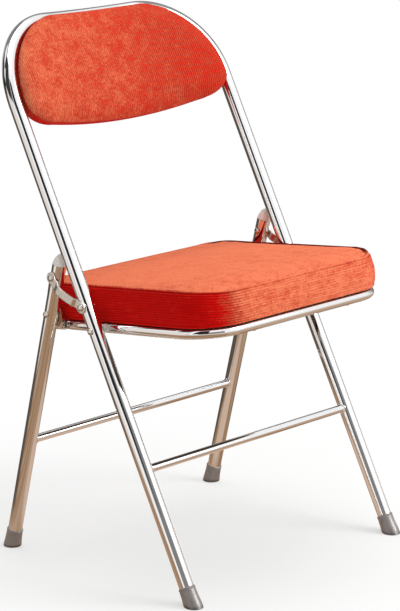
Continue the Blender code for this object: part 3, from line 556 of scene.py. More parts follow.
def foot_material():
    """Satin grey plastic, paler where it is handled, and darker in a band towards the floor."""
    material, spot = new_material("foot_plastic", {
        "Coat Weight": 1.0, "Coat Roughness": 0.30, "Coat IOR": 1.75})
    high = add_node(spot.tree, "SeparateXYZ", {0: spot})[2]
    cloud = noise(spot, 70.0, 5.0)
    low_band = (high + cloud * 0.005).step(0.0042, 0.0085, 0.9, 0.0)
    return lead_in(material, low_band.mix(cloud.step(0.3, 0.7).mix(FOOT_DARK, FOOT_PALE), FOOT_LOW_DARK),
                   cloud.step(0.3, 0.7, 0.36, 0.52), noise(spot, 1300.0), 0.08, 0.0002)


def shade(piece, degrees):
    """Smooth shading between the edges that are sharper than an angle."""
    piece.data.shade_smooth()
    piece.data.set_sharp_from_angle(angle=radians(degrees))


FOOT_PLASTIC = foot_material()
ups, radii = zip(*FOOT_PROFILE)
fine = sorted(set(np.round(np.concatenate([np.linspace(ups[1], ups[-1], FOOT_STEPS), ups]), 6)))
for side, word in SIDES:
    for row, point in (("front", front_point), ("rear", rear_point)):
        foot = sweep_tube(f"{row}_sleeve_{word}", [[point(side * HALF_TRACK, 0, up) for up in fine]],
                          1.0, FOOT_PLASTIC, girths=[np.interp(fine, ups, radii)], sides=FOOT_SIDES)
        bm = bmesh.new()
        bm.from_mesh(foot.data)
        cut = bmesh.ops.bisect_plane(bm, geom=bm.verts[:] + bm.edges[:] + bm.faces[:], plane_co=(0, 0, 0),
                                     plane_no=(0, 0, -1), clear_outer=True)
        rim = [e for e in cut["geom_cut"] if isinstance(e, bmesh.types.BMEdge)]
        bmesh.ops.edgenet_fill(bm, edges=rim)
        bmesh.ops.bevel(bm, geom=rim, offset=SOLE_EDGE, segments=3, affect="EDGES")
        write_mesh(bm, foot.data)
        shade(foot, FOOT_SHARP)
        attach(foot, f"{row}_frame")
        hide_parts(f"{row}_foot_{word}")


# Seat frame: a thin tube bent into a closed loop that carries the seat board, hung on the
# front tubes by two rivets. It slopes down to the back.
SEAT_TUBE_RADIUS, SEAT_TUBE_DROP, SEAT_TUBE_SIDES = 0.0077, 0.0011, 32
SEAT_PIVOT_UP = 0.4115
SEAT_TILT = radians(6.4)
SEAT_HALF = 0.1880
SEAT_FRONT, SEAT_REAR = 0.1965, 0.112
SEAT_FRONT_R, SEAT_REAR_R = 0.060, 0.035
SEAT_BEND_STEPS = 24
seat_pivot = front_point(0, 0, SEAT_PIVOT_UP)
seat_point = leaning_plane(seat_pivot, SEAT_TILT)


def seat_outline(half, front, rear, front_r, rear_r):
    """Rounded outline in the seat's plane."""
    points = []
    for x, y, radius, start in ((half - rear_r, rear - rear_r, rear_r, 0),
                                (rear_r - half, rear - rear_r, rear_r, 90),
                                (front_r - half, front_r - front, front_r, 180),
                                (half - front_r, front_r - front, front_r, 270)):
        points += arc(x, y, radius, start, start + 90, SEAT_BEND_STEPS)
    return points


loop = seat_outline(SEAT_HALF, SEAT_FRONT, SEAT_REAR, SEAT_FRONT_R, SEAT_REAR_R)
seat_loop = sweep_tube("seat_loop", [[seat_point(x, y, -SEAT_TUBE_DROP) for x, y in loop]],
                       SEAT_TUBE_RADIUS, CHROME, closed=True, sides=SEAT_TUBE_SIDES)
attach(seat_loop, "seat")
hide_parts("seat_frame_tube")


# Rear brackets: pressed steel channels welded to the seat loop. The taller wall rises beside the
# rear leg and carries the pivot rivet; they are zinc plated.
BRACKET_FOOT_HALF, BRACKET_EYE_RADIUS = 0.0105, 0.0088
BRACKET_THICK, BRACKET_EDGE = 0.0024, 0.0005
BRACKET_BACK, BRACKET_UP = 0.0902, 0.0194
BRACKET_COLUMNS, BRACKET_ROWS = 21, 9
EYE_TURN = radians(105)
CHANNEL = [(0.1969, 0.0062), (0.1969, 0.0), (0.1969, -0.0035), (0.1973, -0.0048), (0.1982, -0.0053),
           (0.2026, -0.0053), (0.2037, -0.0048), (0.20415, -0.0035)]
SHEET_SHARP = 40
ZINC_BRIGHT, ZINC_YELLOW = (0.82, 0.81, 0.79, 1), (0.70, 0.67, 0.61, 1)


def zinc_material():
    """Bright zinc: soft clouds of dullness with a trace of yellow."""
    material, spot = new_material("zinc_plate", {"Metallic": 1.0})
    cloud = noise(spot, 140.0, 6.0)
    spangle = add_node(spot.tree, "TexVoronoi", {"Vector": spot, "Scale": 420.0}, "Color")
    tint = cloud.step(0.35, 0.7).mix(ZINC_BRIGHT, ZINC_YELLOW)
    tint = add_node(spot.tree, "Mix", {0: 0.06, 6: tint, 7: spangle}, 2,
                    data_type="RGBA", blend_type="OVERLAY")
    return lead_in(material, tint, cloud.step(0.3, 0.75, 0.06, 0.17), cloud, 0.04, 0.0002)


def new_object(name, bm, finish=None):
    """Object with a worked shape, not in the scene yet."""
    mesh = bpy.data.meshes.new(name)
    write_mesh(bm, mesh)
    if finish:
        mesh.materials.append(finish)
    return bpy.data.objects.new(name, mesh)


def ease_edges(piece, width):
    edge = piece.modifiers.new("eased_edges", "BEVEL")
    edge.width, edge.segments = width, 2
    edge.limit_method, edge.angle_limit = "ANGLE", radians(50)


def press_sheet(name, rows, finish, thick, ease):
    """Sheet of metal whose middle surface runs through rows of points, with eased edges."""
    bm = bmesh.new()
    rows = [[bm.verts.new(p) for p in row] for row in rows]
    for one, two in zip(rows, rows[1:]):
        for i in range(len(one) - 1):
            bm.faces.new((one[i], one[i + 1], two[i + 1], two[i]))
    sheet = new_object(name, bm, finish)
    solid = sheet.modifiers.new("thickness", "SOLIDIFY")
    solid.thickness, solid.offset = thick, 0
    ease_edges(sheet, ease)
    sheet = plain_mesh(sheet)
    shade(sheet, SHEET_SHARP)
    return sheet


ZINC = zinc_material()
wall_x, wall_up = CHANNEL[-1]
for side, word in SIDES:
    columns = []
    for share in np.linspace(-1, 1, BRACKET_COLUMNS):
        top_back = BRACKET_BACK + BRACKET_EYE_RADIUS * sin(EYE_TURN * share)
        top_up = BRACKET_UP + BRACKET_EYE_RADIUS * cos(EYE_TURN * share)
        foot_back = BRACKET_BACK + BRACKET_FOOT_HALF * share
        columns.append([seat_point(side * x, foot_back, up) for x, up in CHANNEL])
        for rise in np.linspace(0, 1, BRACKET_ROWS)[1:]:
            columns[-1].append(seat_point(side * wall_x, foot_back + (top_back - foot_back) * rise,
                                          wall_up + (top_up - wall_up) * rise))
    channel = press_sheet(f"rear_channel_{word}", columns, ZINC, BRACKET_THICK, BRACKET_EDGE)
    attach(channel, "seat")
    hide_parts(f"seat_bracket_{word}")


# Seat board: plywood stained dark brown, let into the underside of the cushion with its grain
# across the seat. It rests on the loop and is held by four screws from below.
GRAIN_SCALE, PORE_SCALE = (5.0, 105.0, 105.0), (60.0, 1400.0, 1400.0)
WOOD_DARK, WOOD_PALE = (0.030, 0.017, 0.012, 1), (0.068, 0.040, 0.027, 1)
WOOD_PORE = (0.014, 0.008, 0.006, 1)


def plywood_material():
    """Rotary-cut veneer with long wavy grain and dark pores."""
    material, spot = new_material("stained_plywood")
    grain, pore = noise(spot, GRAIN_SCALE, 6.0, Distortion=1.2), noise(spot, PORE_SCALE)
    wood = grain.step(0.32, 0.68).mix(WOOD_DARK, WOOD_PALE)
    return lead_in(material, pore.step(0.60, 0.72, 0.0, 0.5).mix(wood, WOOD_PORE),
                   grain.step(0.3, 0.7, 0.50, 0.66), pore, 0.15, 0.0003)


def dress(node, material):
    """A CAD piece whose shape stays gets its finish."""
    frame["nodes"][node].data.materials.clear()
    frame["nodes"][node].data.materials.append(material)


PLYWOOD = plywood_material()
dress("seat_board", PLYWOOD)


# Wood screws: zinc-plated pan heads with a cross recess, driven up through the seat loop into
# the board. Their heads are drawn a little into the tube's underside.
SCREW_HEAD_RADIUS, SCREW_HEAD_HEIGHT = 0.0038, 0.0022
SCREW_SHANK_RADIUS, SCREW_POINT = 0.0018, 0.004
SCREW_SIDES, SCREW_SHARP = 32, 35
RECESS_ARM, RECESS_HALF, RECESS_DEPTH, RECESS_TAPER = 0.0020, 0.00045, 0.0012, 0.7
SEAT_SCREW_X, SEAT_SCREW_LENGTH, SCREW_SUNK = 0.0996, 0.0200, 0.0017


def ring_faces(bm, low, high):
    """Faces between two closed rings of vertices."""
    for i in range(len(low)):
        bm.faces.new((low[i], low[i - 1], high[i - 1], high[i]))


def screw_shape(length):
    """Pan head with its recess at negative Z, shank along positive Z."""
    bm = bmesh.new()
    profile = [(SCREW_SHANK_RADIUS * 0.3, length), (SCREW_SHANK_RADIUS, length - SCREW_POINT),
               (SCREW_SHANK_RADIUS, 0.0), (SCREW_HEAD_RADIUS, 0.0), (SCREW_HEAD_RADIUS, -0.0008),
               (SCREW_HEAD_RADIUS * 0.93, -0.0015), (SCREW_HEAD_RADIUS * 0.76, -0.0020),
               (SCREW_HEAD_RADIUS * 0.66, -SCREW_HEAD_HEIGHT)]
    turns = np.linspace(0, 2 * pi, SCREW_SIDES, endpoint=False)
    rows = [[bm.verts.new((r * cos(t), r * sin(t), z)) for t in turns] for r, z in profile]
    for low, high in zip(rows, rows[1:]):
        ring_faces(bm, low, high)
    bm.faces.new(rows[0])
    a, w = RECESS_ARM, RECESS_HALF
    cross = [(a, -w), (a, w), (w, w), (w, a), (-w, a), (-w, w),
             (-a, w), (-a, -w), (-w, -w), (-w, -a), (w, -a), (w, -w)]
    lip = [bm.verts.new((x, y, -SCREW_HEAD_HEIGHT)) for x, y in cross]
    floor = [bm.verts.new((x * RECESS_TAPER, y * RECESS_TAPER, RECESS_DEPTH - SCREW_HEAD_HEIGHT))
             for x, y in cross]
    rim = [bm.edges.get((rows[-1][i - 1], rows[-1][i])) for i in range(SCREW_SIDES)]
    hole = [bm.edges.new((lip[i - 1], lip[i])) for i in range(len(lip))]
    bmesh.ops.triangle_fill(bm, edges=rim + hole, use_beauty=True)
    ring_faces(bm, lip, floor)
    bm.faces.new(floor)
    return bm


def screw_group():
    """Sets a screw at each point, its shank along the point's own direction."""
    group, given = new_group("screw_set", Places="Geometry", Screw="Object", Finish="Material")
    pattern = add_node(group, "ObjectInfo", {"Object": given["Screw"]})
    way = add_node(group, "InputNamedAttribute", {"Name": "way"}, data_type="FLOAT_VECTOR")
    turn = add_node(group, "FunctionNodeAlignRotationToVector", {"Vector": way["Attribute"]}, axis="Z")
    return end_group(group, given, add_node(
        group, "InstanceOnPoints",
        {"Points": given["Places"], "Instance": pattern["Geometry"], "Rotation": turn}))


SCREW_GROUP = screw_group()


def set_screws(name, places, ways, length):
    """Screws of one length as one plain mesh."""
    pattern = new_object(f"{name}_pattern", screw_shape(length))
    objects.link(pattern)
    mesh = bpy.data.meshes.new(name)
    mesh.from_pydata([tuple(p) for p in places], [], [])
    layer = mesh.attributes.new("way", "FLOAT_VECTOR", "POINT")
    layer.data.foreach_set("vector", np.array(ways, dtype=np.float32).ravel())
    piece = run_group(name, mesh, SCREW_GROUP, Screw=pattern, Finish=ZINC)
    bpy.data.objects.remove(pattern, do_unlink=True)
    shade(piece, SCREW_SHARP)
    return piece


seat_up = seat_point(0, 0, 1) - seat_point(0, 0, 0)
under_loop = -SEAT_TUBE_DROP - SEAT_TUBE_RADIUS + SCREW_SUNK
seat_screws = set_screws("seat_screws", [seat_point(side * SEAT_SCREW_X, back, under_loop)
                                         for side in (-1, 1) for back in (-SEAT_FRONT, SEAT_REAR)],
                         [seat_up] * 4, SEAT_SCREW_LENGTH)
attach(seat_screws, "seat")
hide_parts("seat_screw_front_left", "seat_screw_front_right", "seat_screw_rear_left",
            "seat_screw_rear_right")


# Seat cushion: moulded foam in a boxed corduroy cover, sewn along the top edge of its side band.
# The cover is drawn under the edge of the plywood board, so its sides bulge between the corners.
CUSHION_HALF = 0.195
CUSHION_FRONT, CUSHION_REAR = 0.206, 0.146
CUSHION_FRONT_R, CUSHION_REAR_R = 0.065, 0.045
CUSHION_LOW, CUSHION_TOP = 0.0070, 0.0598
CUSHION_NOSE_DROP, CUSHION_NOSE_SHAPE, CUSHION_CROWN = 0.0045, 1.5, 0.0045
CUSHION_CORNERS = [0.055, 0.305, 0.545, 0.80]
PANEL_STEPS = 32
BOARD_RECESS, BOARD_CEILING = 0.0040, 0.0151
SEAM_DOWN, SEAM_IN = 0.0012, 0.0060
EDGE_IN, EDGE_DOWN, EDGE_ROWS = 0.0120, 0.0052, 11
BAND_IN, BAND_BULGE, BAND_ROWS = 0.0006, 0.0025, 9
BAND_LOW, BAND_HIGH = CUSHION_LOW + 0.002, CUSHION_TOP - EDGE_DOWN
WELT_HIGH, WELT_HALF = 0.0010, 0.0013
STITCH_DEEP, STITCH_OFF, STITCH_HALF = 0.0011, 0.0027, 0.0010
HEM_UP, HEM_DEEP, HEM_HALF, HEM_IN = 0.0052, 0.0009, 0.0012, 0.003
HEM_TOP, HEM_ROWS = CUSHION_LOW + 0.0085, 6
SWELL_MOST, SWELL_FROM, SWELL_RUN = 0.002, 0.030, 0.013
SWELL_FRAMES = 20
COVER_CLOTH = {"quality": 6, "mass": 0.35, "tension_stiffness": 22, "compression_stiffness": 22,
               "shear_stiffness": 8, "bending_stiffness": 1.2, "use_pressure": True,
               "uniform_pressure_force": 4.0, "vertex_group_mass": "held"}
WALE_PITCH, WALE_WANDER, WALE_ROUND = 0.0035, 0.35, 0.7
# Scales across and along the cloth, detail, share of random patches added to the pile's painted light and
# shade.
TUFT = ((330.0, 230.0, 1.0), 2.0, 0.15)
BLOTCH = ((62.0, 55.0, 1.0), 4.0, 0.13)
BROAD = ((17.0, 15.0, 1.0), 3.0, 0.07)
STREAK = ((290.0, 26.0, 1.0), 3.0, 0.16)
# Colours of the pile from painted shade to painted light.
PILE_COLORS = [(0.0, (0.62, 0.0012, 0.0008, 1)), (0.15, (0.71, 0.0035, 0.0020, 1)),
               (0.5, (0.56, 0.054, 0.023, 1)), (1.0, (0.82, 0.205, 0.098, 1))]
GROOVE_PAINTED_SHADE, CREASE_PAINTED_SHADE = (0.20, 0.002, 0.001, 1), (0.13, 0.003, 0.002, 1)
# Painted light and shade by side: the top panel lighter, the band darker toward its left, right and rear.
TOP_PAINTED_LIGHT, BAND_PAINTED_LIGHT = 0.95, 0.865
LEFT_PAINTED_SHADE, RIGHT_PAINTED_SHADE, REAR_PAINTED_SHADE = 0.93, 0.60, 0.45
TOP_CRUSH, NOSE_CRUSH, BAND_CRUSH = 0.55, 0.5, 0.92
LEFT_FROM, LEFT_RUN = 0.120, 0.065
RIGHT_FROM, RIGHT_RUN = 0.150, 0.040
NOSE_FROM, NOSE_RUN = 0.04, 0.10
SEAM_SOFT = 0.004
FAR_RIGHT, FAR_BACK, FAR_HIGH, FAR_WIDE = 1.1, 0.35, 1.6, 0.3
# Painted shade along the seam: the stitch lines everywhere, the whole welt on the far edges.
WELT_SHADE, WELT_SHADE_LEFT, WELT_LEFT_FROM, WELT_SHADE_FAR = 0.22, 0.28, 0.2, 0.78
CORNER_X, CORNER_HALF = 0.145, 0.030
# Strength of the painted shade in the grooves between the wales, by region.
TOP_GROOVE_SHADE, BAND_GROOVE_SHADE, LEFT_GROOVE_SHADE, CORNER_GROOVE_SHADE = 0.14, 0.06, 0.28, 0.55


def even_outline(points, corners, steps):
    """Points and outward normals round a closed outline, in four runs between given shares of it."""
    path = np.array(points + points[:1])
    along = np.concatenate([[0], np.cumsum(np.linalg.norm(np.diff(path, axis=0), axis=1))])
    shares = np.concatenate([np.linspace(start, end, steps, endpoint=False)
                             for start, end in zip(corners, corners[1:] + [corners[0] + 1])])
    at = (shares % 1.0) * along[-1]
    ring = np.stack([np.interp(at, along, path[:, k]) for k in (0, 1)], axis=1)
    ahead = np.roll(ring, -1, axis=0) - np.roll(ring, 1, axis=0)
    normal = np.stack([ahead[:, 1], -ahead[:, 0]], axis=1)
    return ring, normal / np.linalg.norm(normal, axis=1, keepdims=True)


def corduroy_material():
    """Ribbed pile: painted shade in the grooves between rounded wales and along the seams, random crushed
    patches, painted light and shade by side.
    """
    material, spot = new_material("corduroy_pile", {
        "Roughness": 0.92, "Specular IOR Level": 0.08, "Sheen Weight": 0.11, "Sheen Roughness": 0.45,
        "Sheen Tint": (1.0, 0.40, 0.23, 1)})
    seam, panel, band, along, lean, welt, ribs, crush = [
        add_node(spot.tree, "Attribute", output="Fac", attribute_name=name)
        for name in ("seam", "wale", "wale_band", "along", "lean", "welt", "ribs", "crush")]
    on_top = seam.work("GREATER_THAN", 0.0)
    across = add_node(spot.tree, "Mix", {0: on_top, 2: band, 3: panel}, data_type="FLOAT")
    cloth = add_node(spot.tree, "CombineXYZ", {0: across, 1: along, 2: on_top})
    tuft, blotch, broad, streak = [noise(cloth, scale, detail, Roughness=0.55)
                                   for scale, detail, share in (TUFT, BLOTCH, BROAD, STREAK)]
    turn = (across + blotch * (WALE_PITCH * WALE_WANDER)) * (pi / WALE_PITCH)
    rib = abs(turn.work("SINE")).work("POWER", WALE_ROUND)
    nap = (1.0 - on_top) * streak.step(0.30, 0.70, -STREAK[2], STREAK[2])
    for pattern, share in ((tuft, TUFT[2]), (blotch, BLOTCH[2]), (broad, BROAD[2])):
        nap = nap + pattern.step(0.30, 0.70, -share, share)
    # The ramp reads painted light and shade by side from lean, with the random pile patches added.
    pile = add_node(spot.tree, "ValToRGB", {0: lean + nap * crush})
    ramp = pile.node.color_ramp.elements
    ramp[0].color, ramp[1].color = PILE_COLORS[0][1], PILE_COLORS[-1][1]
    for place, color in PILE_COLORS[1:-1]:
        ramp.new(place).color = color
    # Painted shade in the grooves between the wales.
    ribbed = (rib.step(0.10, 0.80, 1.0, 0.0) * ribs).mix(pile, GROOVE_PAINTED_SHADE)
    off_seam = abs(seam + tuft.step(0.3, 0.7, -0.0007, 0.0007))
    # Painted shade on the stitch lines beside the seam and over the far edges' welt.
    stitched = abs(off_seam - STITCH_OFF).step(0.0004, 0.0013, 1.0, 0.0)
    shaded = welt.step(0.5, 1.0) * off_seam.step(0.0042, 0.0062, 1.0, 0.0)
    crease_shade = (stitched * welt).work("MAXIMUM", shaded)
    height = rib + noise(spot, 900.0, 3.0) * 0.25 + blotch * 0.5
    return lead_in(material, crease_shade.mix(ribbed, CREASE_PAINTED_SHADE), None, height, 0.6, 0.0008)


CORDUROY = corduroy_material()


def panel_filler(edge, middle, point):
    """Places the inner points of a panel, by an index round its edge and a share of the way out."""
    def place(index, share):
        low = int(index) % len(edge)
        between = edge[low] + (edge[(low + 1) % len(edge)] - edge[low]) * (index - int(index))
        return point(*(middle + (between - middle) * share), share)
    return place


def pad_mesh(name, rings, low_panel, high_panel):
    """Closed pad from stacked rings of points; each panel places the points that fill an end ring.

    The rings have eight points for every step of the panels' square grids."""
    steps = len(rings[0]) // 8
    bm = bmesh.new()
    rows = [[bm.verts.new(p) for p in ring] for ring in rings]
    for low, high in zip(rows, rows[1:]):
        ring_faces(bm, low, high)
    for row, panel, turned in ((rows[0], low_panel, True), (rows[-1], high_panel, False)):
        grid = {}
        for k in range(steps, -1, -1):
            square = [(k, -k + m) for m in range(2 * k)] + [(k - m, k) for m in range(2 * k)]
            square += [(-k, k - m) for m in range(2 * k)] + [(-k + m, -k) for m in range(2 * k)]
            square = square or [(0, 0)]
            for m, cell in enumerate(square):
                if k == steps:
                    grid[cell] = row[m]
                else:
                    grid[cell] = bm.verts.new(panel(m * len(row) / len(square), k / steps))
        for i in range(-steps, steps):
            for j in range(-steps, steps):
                corners = [grid[i, j], grid[i + 1, j], grid[i + 1, j + 1], grid[i, j + 1]]
                bm.faces.new(corners[::-1] if turned else corners)
    pad = new_object(name, bm, CORDUROY)
    objects.link(pad)
    return pad


def mesh_points(mesh):
    points = np.empty(len(mesh.vertices) * 3)
    mesh.vertices.foreach_get("co", points)
    return points.reshape(-1, 3)


def mesh_normals(mesh):
    normals = np.empty(len(mesh.vertices) * 3, dtype=np.float32)
    mesh.vertex_normals.foreach_get("vector", normals)
    return normals.reshape(-1, 3)


def set_points(mesh, points):
    mesh.vertices.foreach_set("co", points.ravel())
    mesh.update()


def limited(values):
    return np.clip(values, 0, 1)


def plane_places(pad, origin, lean):
    """Across, behind and up along a leaning plane for the points of a pad."""
    x, y, z = (mesh_points(pad.data) - np.array(origin)).T
    return x, y * cos(lean) - z * sin(lean), y * sin(lean) + z * cos(lean)


def blow_up(pad, held):
    """Swell a cover over its foam with cloth pressure; held points stay and no point moves too far."""
    start = mesh_points(pad.data)
    pins = pad.vertex_groups.new(name="held")
    for index in np.flatnonzero(held > 0):
        pins.add([int(index)], float(held[index]), "REPLACE")
    cover = pad.modifiers.new("cover", "CLOTH")
    for key, value in COVER_CLOTH.items():
        setattr(cover.settings, key, value)
    cover.settings.effector_weights.gravity = 0
    for moment in range(1, SWELL_FRAMES + 1):
        scene.frame_set(moment)
    depsgraph = bpy.context.evaluated_depsgraph_get()
    move = mesh_points(pad.evaluated_get(depsgraph).data) - start
    pad.modifiers.remove(cover)
    pad.vertex_groups.clear()
    scene.frame_set(1)
    length = np.linalg.norm(move, axis=1, keepdims=True)
    set_points(pad.data, start + move * np.minimum(1.0, SWELL_MOST / np.maximum(length, 1e-9)))


def subdivided(pad):
    finer = pad.modifiers.new("finer", "SUBSURF")
    finer.levels = finer.render_levels = 1
    objects.unlink(pad)
    pad = plain_mesh(pad)
    pad.data.shade_smooth()
    return pad


def nose_drop(back):
    """How far the cushion's front edge is rolled down."""
    ahead = limited((CUSHION_FRONT_R - CUSHION_FRONT - back) / CUSHION_FRONT_R)
    return CUSHION_NOSE_DROP * ahead ** CUSHION_NOSE_SHAPE


def cushion_panel(inset, height):
    """Fills a panel inset from the outline, at a height by the place along the seat and the share."""
    return panel_filler(cushion_edge - cushion_out * inset,
                        np.array([0.0, (CUSHION_REAR - CUSHION_FRONT) / 2]),
                        lambda x, y, share: seat_point(x, y, height(y, share)))


cushion_edge, cushion_out = even_outline(
    seat_outline(CUSHION_HALF, CUSHION_FRONT, CUSHION_REAR, CUSHION_FRONT_R, CUSHION_REAR_R),
    CUSHION_CORNERS, 2 * PANEL_STEPS)
# Rings of the cover from below: inset from the outline, height, share of the nose's drop.
cover = [(BOARD_RECESS, BOARD_CEILING, 0), (BOARD_RECESS, CUSHION_LOW, 0), (0.0030, CUSHION_LOW, 0),
         (0.0014, CUSHION_LOW + 0.0007, 0)]
for up in np.concatenate([np.linspace(BAND_LOW, HEM_TOP, HEM_ROWS),
                          np.linspace(HEM_TOP, BAND_HIGH, BAND_ROWS)[1:]]):
    t = (up - BAND_LOW) / (BAND_HIGH - BAND_LOW)
    cover.append((BAND_IN - BAND_BULGE * 4 * t * (1 - t), up, t))
for turn in np.radians(np.linspace(0, 90, EDGE_ROWS)[1:]):
    cover.append((BAND_IN + (EDGE_IN - BAND_IN) * (1 - cos(turn)),
                  CUSHION_TOP - EDGE_DOWN * (1 - sin(turn)), 1))
rings = [[seat_point(x, y, up - nose * nose_drop(y)) for x, y in cushion_edge - cushion_out * inset]
         for inset, up, nose in cover]
seat_pad = pad_mesh("seat_pad", rings,
                    cushion_panel(BOARD_RECESS, lambda y, share: BOARD_CEILING),
                    cushion_panel(EDGE_IN, lambda y, share: (CUSHION_TOP - nose_drop(y)
                                                             + CUSHION_CROWN * (1 - share ** 2))))
x, back, up = plane_places(seat_pad, seat_pivot, SEAT_TILT)
blow_up(seat_pad, limited((SWELL_FROM - up) / SWELL_RUN))
seat_pad = subdivided(seat_pad)
x, back, up = plane_places(seat_pad, seat_pivot, SEAT_TILT)
closest = np.argmin(np.hypot(x[:, None] - cushion_edge[None, :, 0],
                             back[:, None] - cushion_edge[None, :, 1]), axis=1)
facing = cushion_out[closest]
from_edge = np.stack([x, back], axis=1) - cushion_edge[closest]
inset = -np.sum(from_edge * facing, axis=1)
below_top = CUSHION_TOP - nose_drop(back) - up
seam = ((inset - SEAM_IN) - (below_top - SEAM_DOWN)) * sqrt(0.5)
hem = up - CUSHION_LOW - HEM_UP
far = limited(FAR_RIGHT * facing[:, 0] + FAR_BACK * np.maximum(facing[:, 1], 0))
pull = STITCH_DEEP * np.exp(-((np.abs(seam) - STITCH_OFF) / STITCH_HALF) ** 2)
pull += HEM_DEEP * np.exp(-(hem / HEM_HALF) ** 2) * (inset < HEM_IN)
pull -= WELT_HIGH * (1 + FAR_HIGH * far) * np.exp(-(seam / (WELT_HALF * (1 + FAR_WIDE * far))) ** 2)
set_points(seat_pad.data, mesh_points(seat_pad.data) - mesh_normals(seat_pad.data) * pull[:, None])
on_band = limited(0.5 - seam / SEAM_SOFT)
edge_length = np.concatenate([[0], np.cumsum(np.linalg.norm(np.diff(cushion_edge, axis=0), axis=1))])
past = np.sum(from_edge * np.stack([-facing[:, 1], facing[:, 0]], axis=1), axis=1)
turned_left = limited((-LEFT_FROM - x) / LEFT_RUN)
turned_right = limited((x - RIGHT_FROM) / RIGHT_RUN)
turned_back = limited(facing[:, 1])
# Painted light and shade of the cover: top lighter, band darker where it turns left, right and to the
# rear.
band_painted_light = (BAND_PAINTED_LIGHT - LEFT_PAINTED_SHADE * turned_left ** 2 * (3 - 2 * turned_left)
             - RIGHT_PAINTED_SHADE * turned_right - REAR_PAINTED_SHADE * turned_back)
near_nose = limited((-NOSE_FROM - back) / NOSE_RUN)
at_corner = np.exp(-((x + CORNER_X) / CORNER_HALF) ** 2) * (facing[:, 1] < 0)
# The stored shade values set painted shade in the grooves and along the seams.
store(seat_pad.data, seam=seam, wale=back, wale_band=below_top,
      along=np.where(seam > 0, x, edge_length[closest] + past),
      lean=TOP_PAINTED_LIGHT + (band_painted_light - TOP_PAINTED_LIGHT) * on_band,
      crush=(TOP_CRUSH + NOSE_CRUSH * near_nose) * (1 - on_band) + BAND_CRUSH * on_band,
      welt=(WELT_SHADE + WELT_SHADE_LEFT * limited(WELT_LEFT_FROM - facing[:, 0])
            + WELT_SHADE_FAR * far ** 2),
      ribs=TOP_GROOVE_SHADE + on_band * (BAND_GROOVE_SHADE + LEFT_GROOVE_SHADE * turned_left + CORNER_GROOVE_SHADE * at_corner))
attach(seat_pad, "seat")
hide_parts("seat_cushion")


# Link straps: flat steel bars with round eyes, bowed and cranked outwards between the eyes to pass
# over the seat rivet's head. They are barrel polished and plated to a soft satin.
STRAP_HALF, STRAP_EYE_RADIUS = 0.00625, 0.0085
STRAP_THICK, STRAP_EDGE = 0.0025, 0.0005
STRAP_BOW, STRAP_BOW_SHAPE = 0.006, 6.75
STRAP_NEAR, STRAP_FAR = 0.2270, 0.2300
STRAP_ROWS, STRAP_COLUMNS, STRAP_TIP = 90, 9, 0.012
CRANK_FRONT, CRANK_REAR, CRANK_RUN = 0.011, 0.019, 0.006
LINK_FRONT, LINK_REAR = Vector((-0.00344, 0.39738)), Vector((0.05716, 0.43092))
LINE_SCALE = (900.0, 45.0, 900.0)
SATIN_PALE, SATIN_WARM = (0.84, 0.81, 0.77, 1), (0.74, 0.70, 0.64, 1)


def satin_material():
    """Satin plate with fine lines drawn along the strap and a warm trace in the duller clouds."""
    material, spot = new_material("satin_plate", {"Metallic": 1.0})
    turn = (-atan2(strap_way.y, strap_way.x), 0, 0)
    line = noise(add_node(spot.tree, "Mapping", {"Vector": spot, "Rotation": turn}), LINE_SCALE, 3.0)
    tint = noise(spot, 120.0, 4.0).step(0.3, 0.7).mix(SATIN_PALE, SATIN_WARM)
    return lead_in(material, tint, line.step(0.3, 0.7, 0.24, 0.36), line, 0.05, 0.0001)


strap_length = (LINK_REAR - LINK_FRONT).length
strap_way = (LINK_REAR - LINK_FRONT).normalized()
strap_across = Vector((strap_way.y, -strap_way.x))
SATIN = satin_material()
for side, word in SIDES:
    rows = []
    for share in np.linspace(STRAP_TIP, 1 - STRAP_TIP, STRAP_ROWS):
        even = 0.5 - 0.5 * cos(pi * share)
        s = -STRAP_EYE_RADIUS + (strap_length + 2 * STRAP_EYE_RADIUS) * even
        t = min(max(s / strap_length, 0), 1)
        bowed = STRAP_BOW * STRAP_BOW_SHAPE * t * t * (1 - t)
        middle = LINK_FRONT + strap_way * s + strap_across * bowed
        to_eye = min(abs(s), abs(s - strap_length))
        eye = sqrt(max(STRAP_EYE_RADIUS ** 2 - to_eye ** 2, 0))
        width = max(eye, STRAP_HALF) if 0 < s < strap_length else eye
        step = min(s - CRANK_FRONT, strap_length - CRANK_REAR + CRANK_RUN - s) / CRANK_RUN
        step = min(max(step, 0), 1)
        x = STRAP_NEAR + STRAP_THICK / 2 + (STRAP_FAR - STRAP_NEAR) * step * step * (3 - 2 * step)
        places = [middle + strap_across * width * c for c in np.linspace(-1, 1, STRAP_COLUMNS)]
        rows.append([(side * x, p.x, p.y) for p in places])
    strap = press_sheet(f"strap_{word}", rows, SATIN, STRAP_THICK, STRAP_EDGE)
    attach(strap, f"link_{word}")
    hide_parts(f"link_{word}")


# Rivets: solid zinc-plated steel with a domed head outside and a clinched tail inside. The front
# pair on each side sits in the front tube, the rear pair in the rear leg.
PIN_RADIUS, RIVET_SIDES = 0.003, 28
RIVET_HEAD_RADIUS, RIVET_HEAD_HEIGHT = 0.0052, 0.0026
RIVET_DOME, RIVET_DOME_STEPS = 0.65, 14
RIVET_TAIL_RADIUS, RIVET_TAIL_HEIGHT = 0.0050, 0.0016
RIVET_FINE = 0.00002
# Place in Y and Z, then how far from the chair's middle the tail and the head sit.
SEAT_RIVET = (seat_pivot.y, seat_pivot.z, SEAT_HALF - SEAT_TUBE_RADIUS, 0.2270)
FRONT_LINK_RIVET = (*LINK_FRONT, 0.2068, 0.2298)
BRACKET_RIVET = (0.07151, 0.37421, 0.2026, 0.2270)
REAR_LINK_RIVET = (*LINK_REAR, 0.2054, 0.2298)


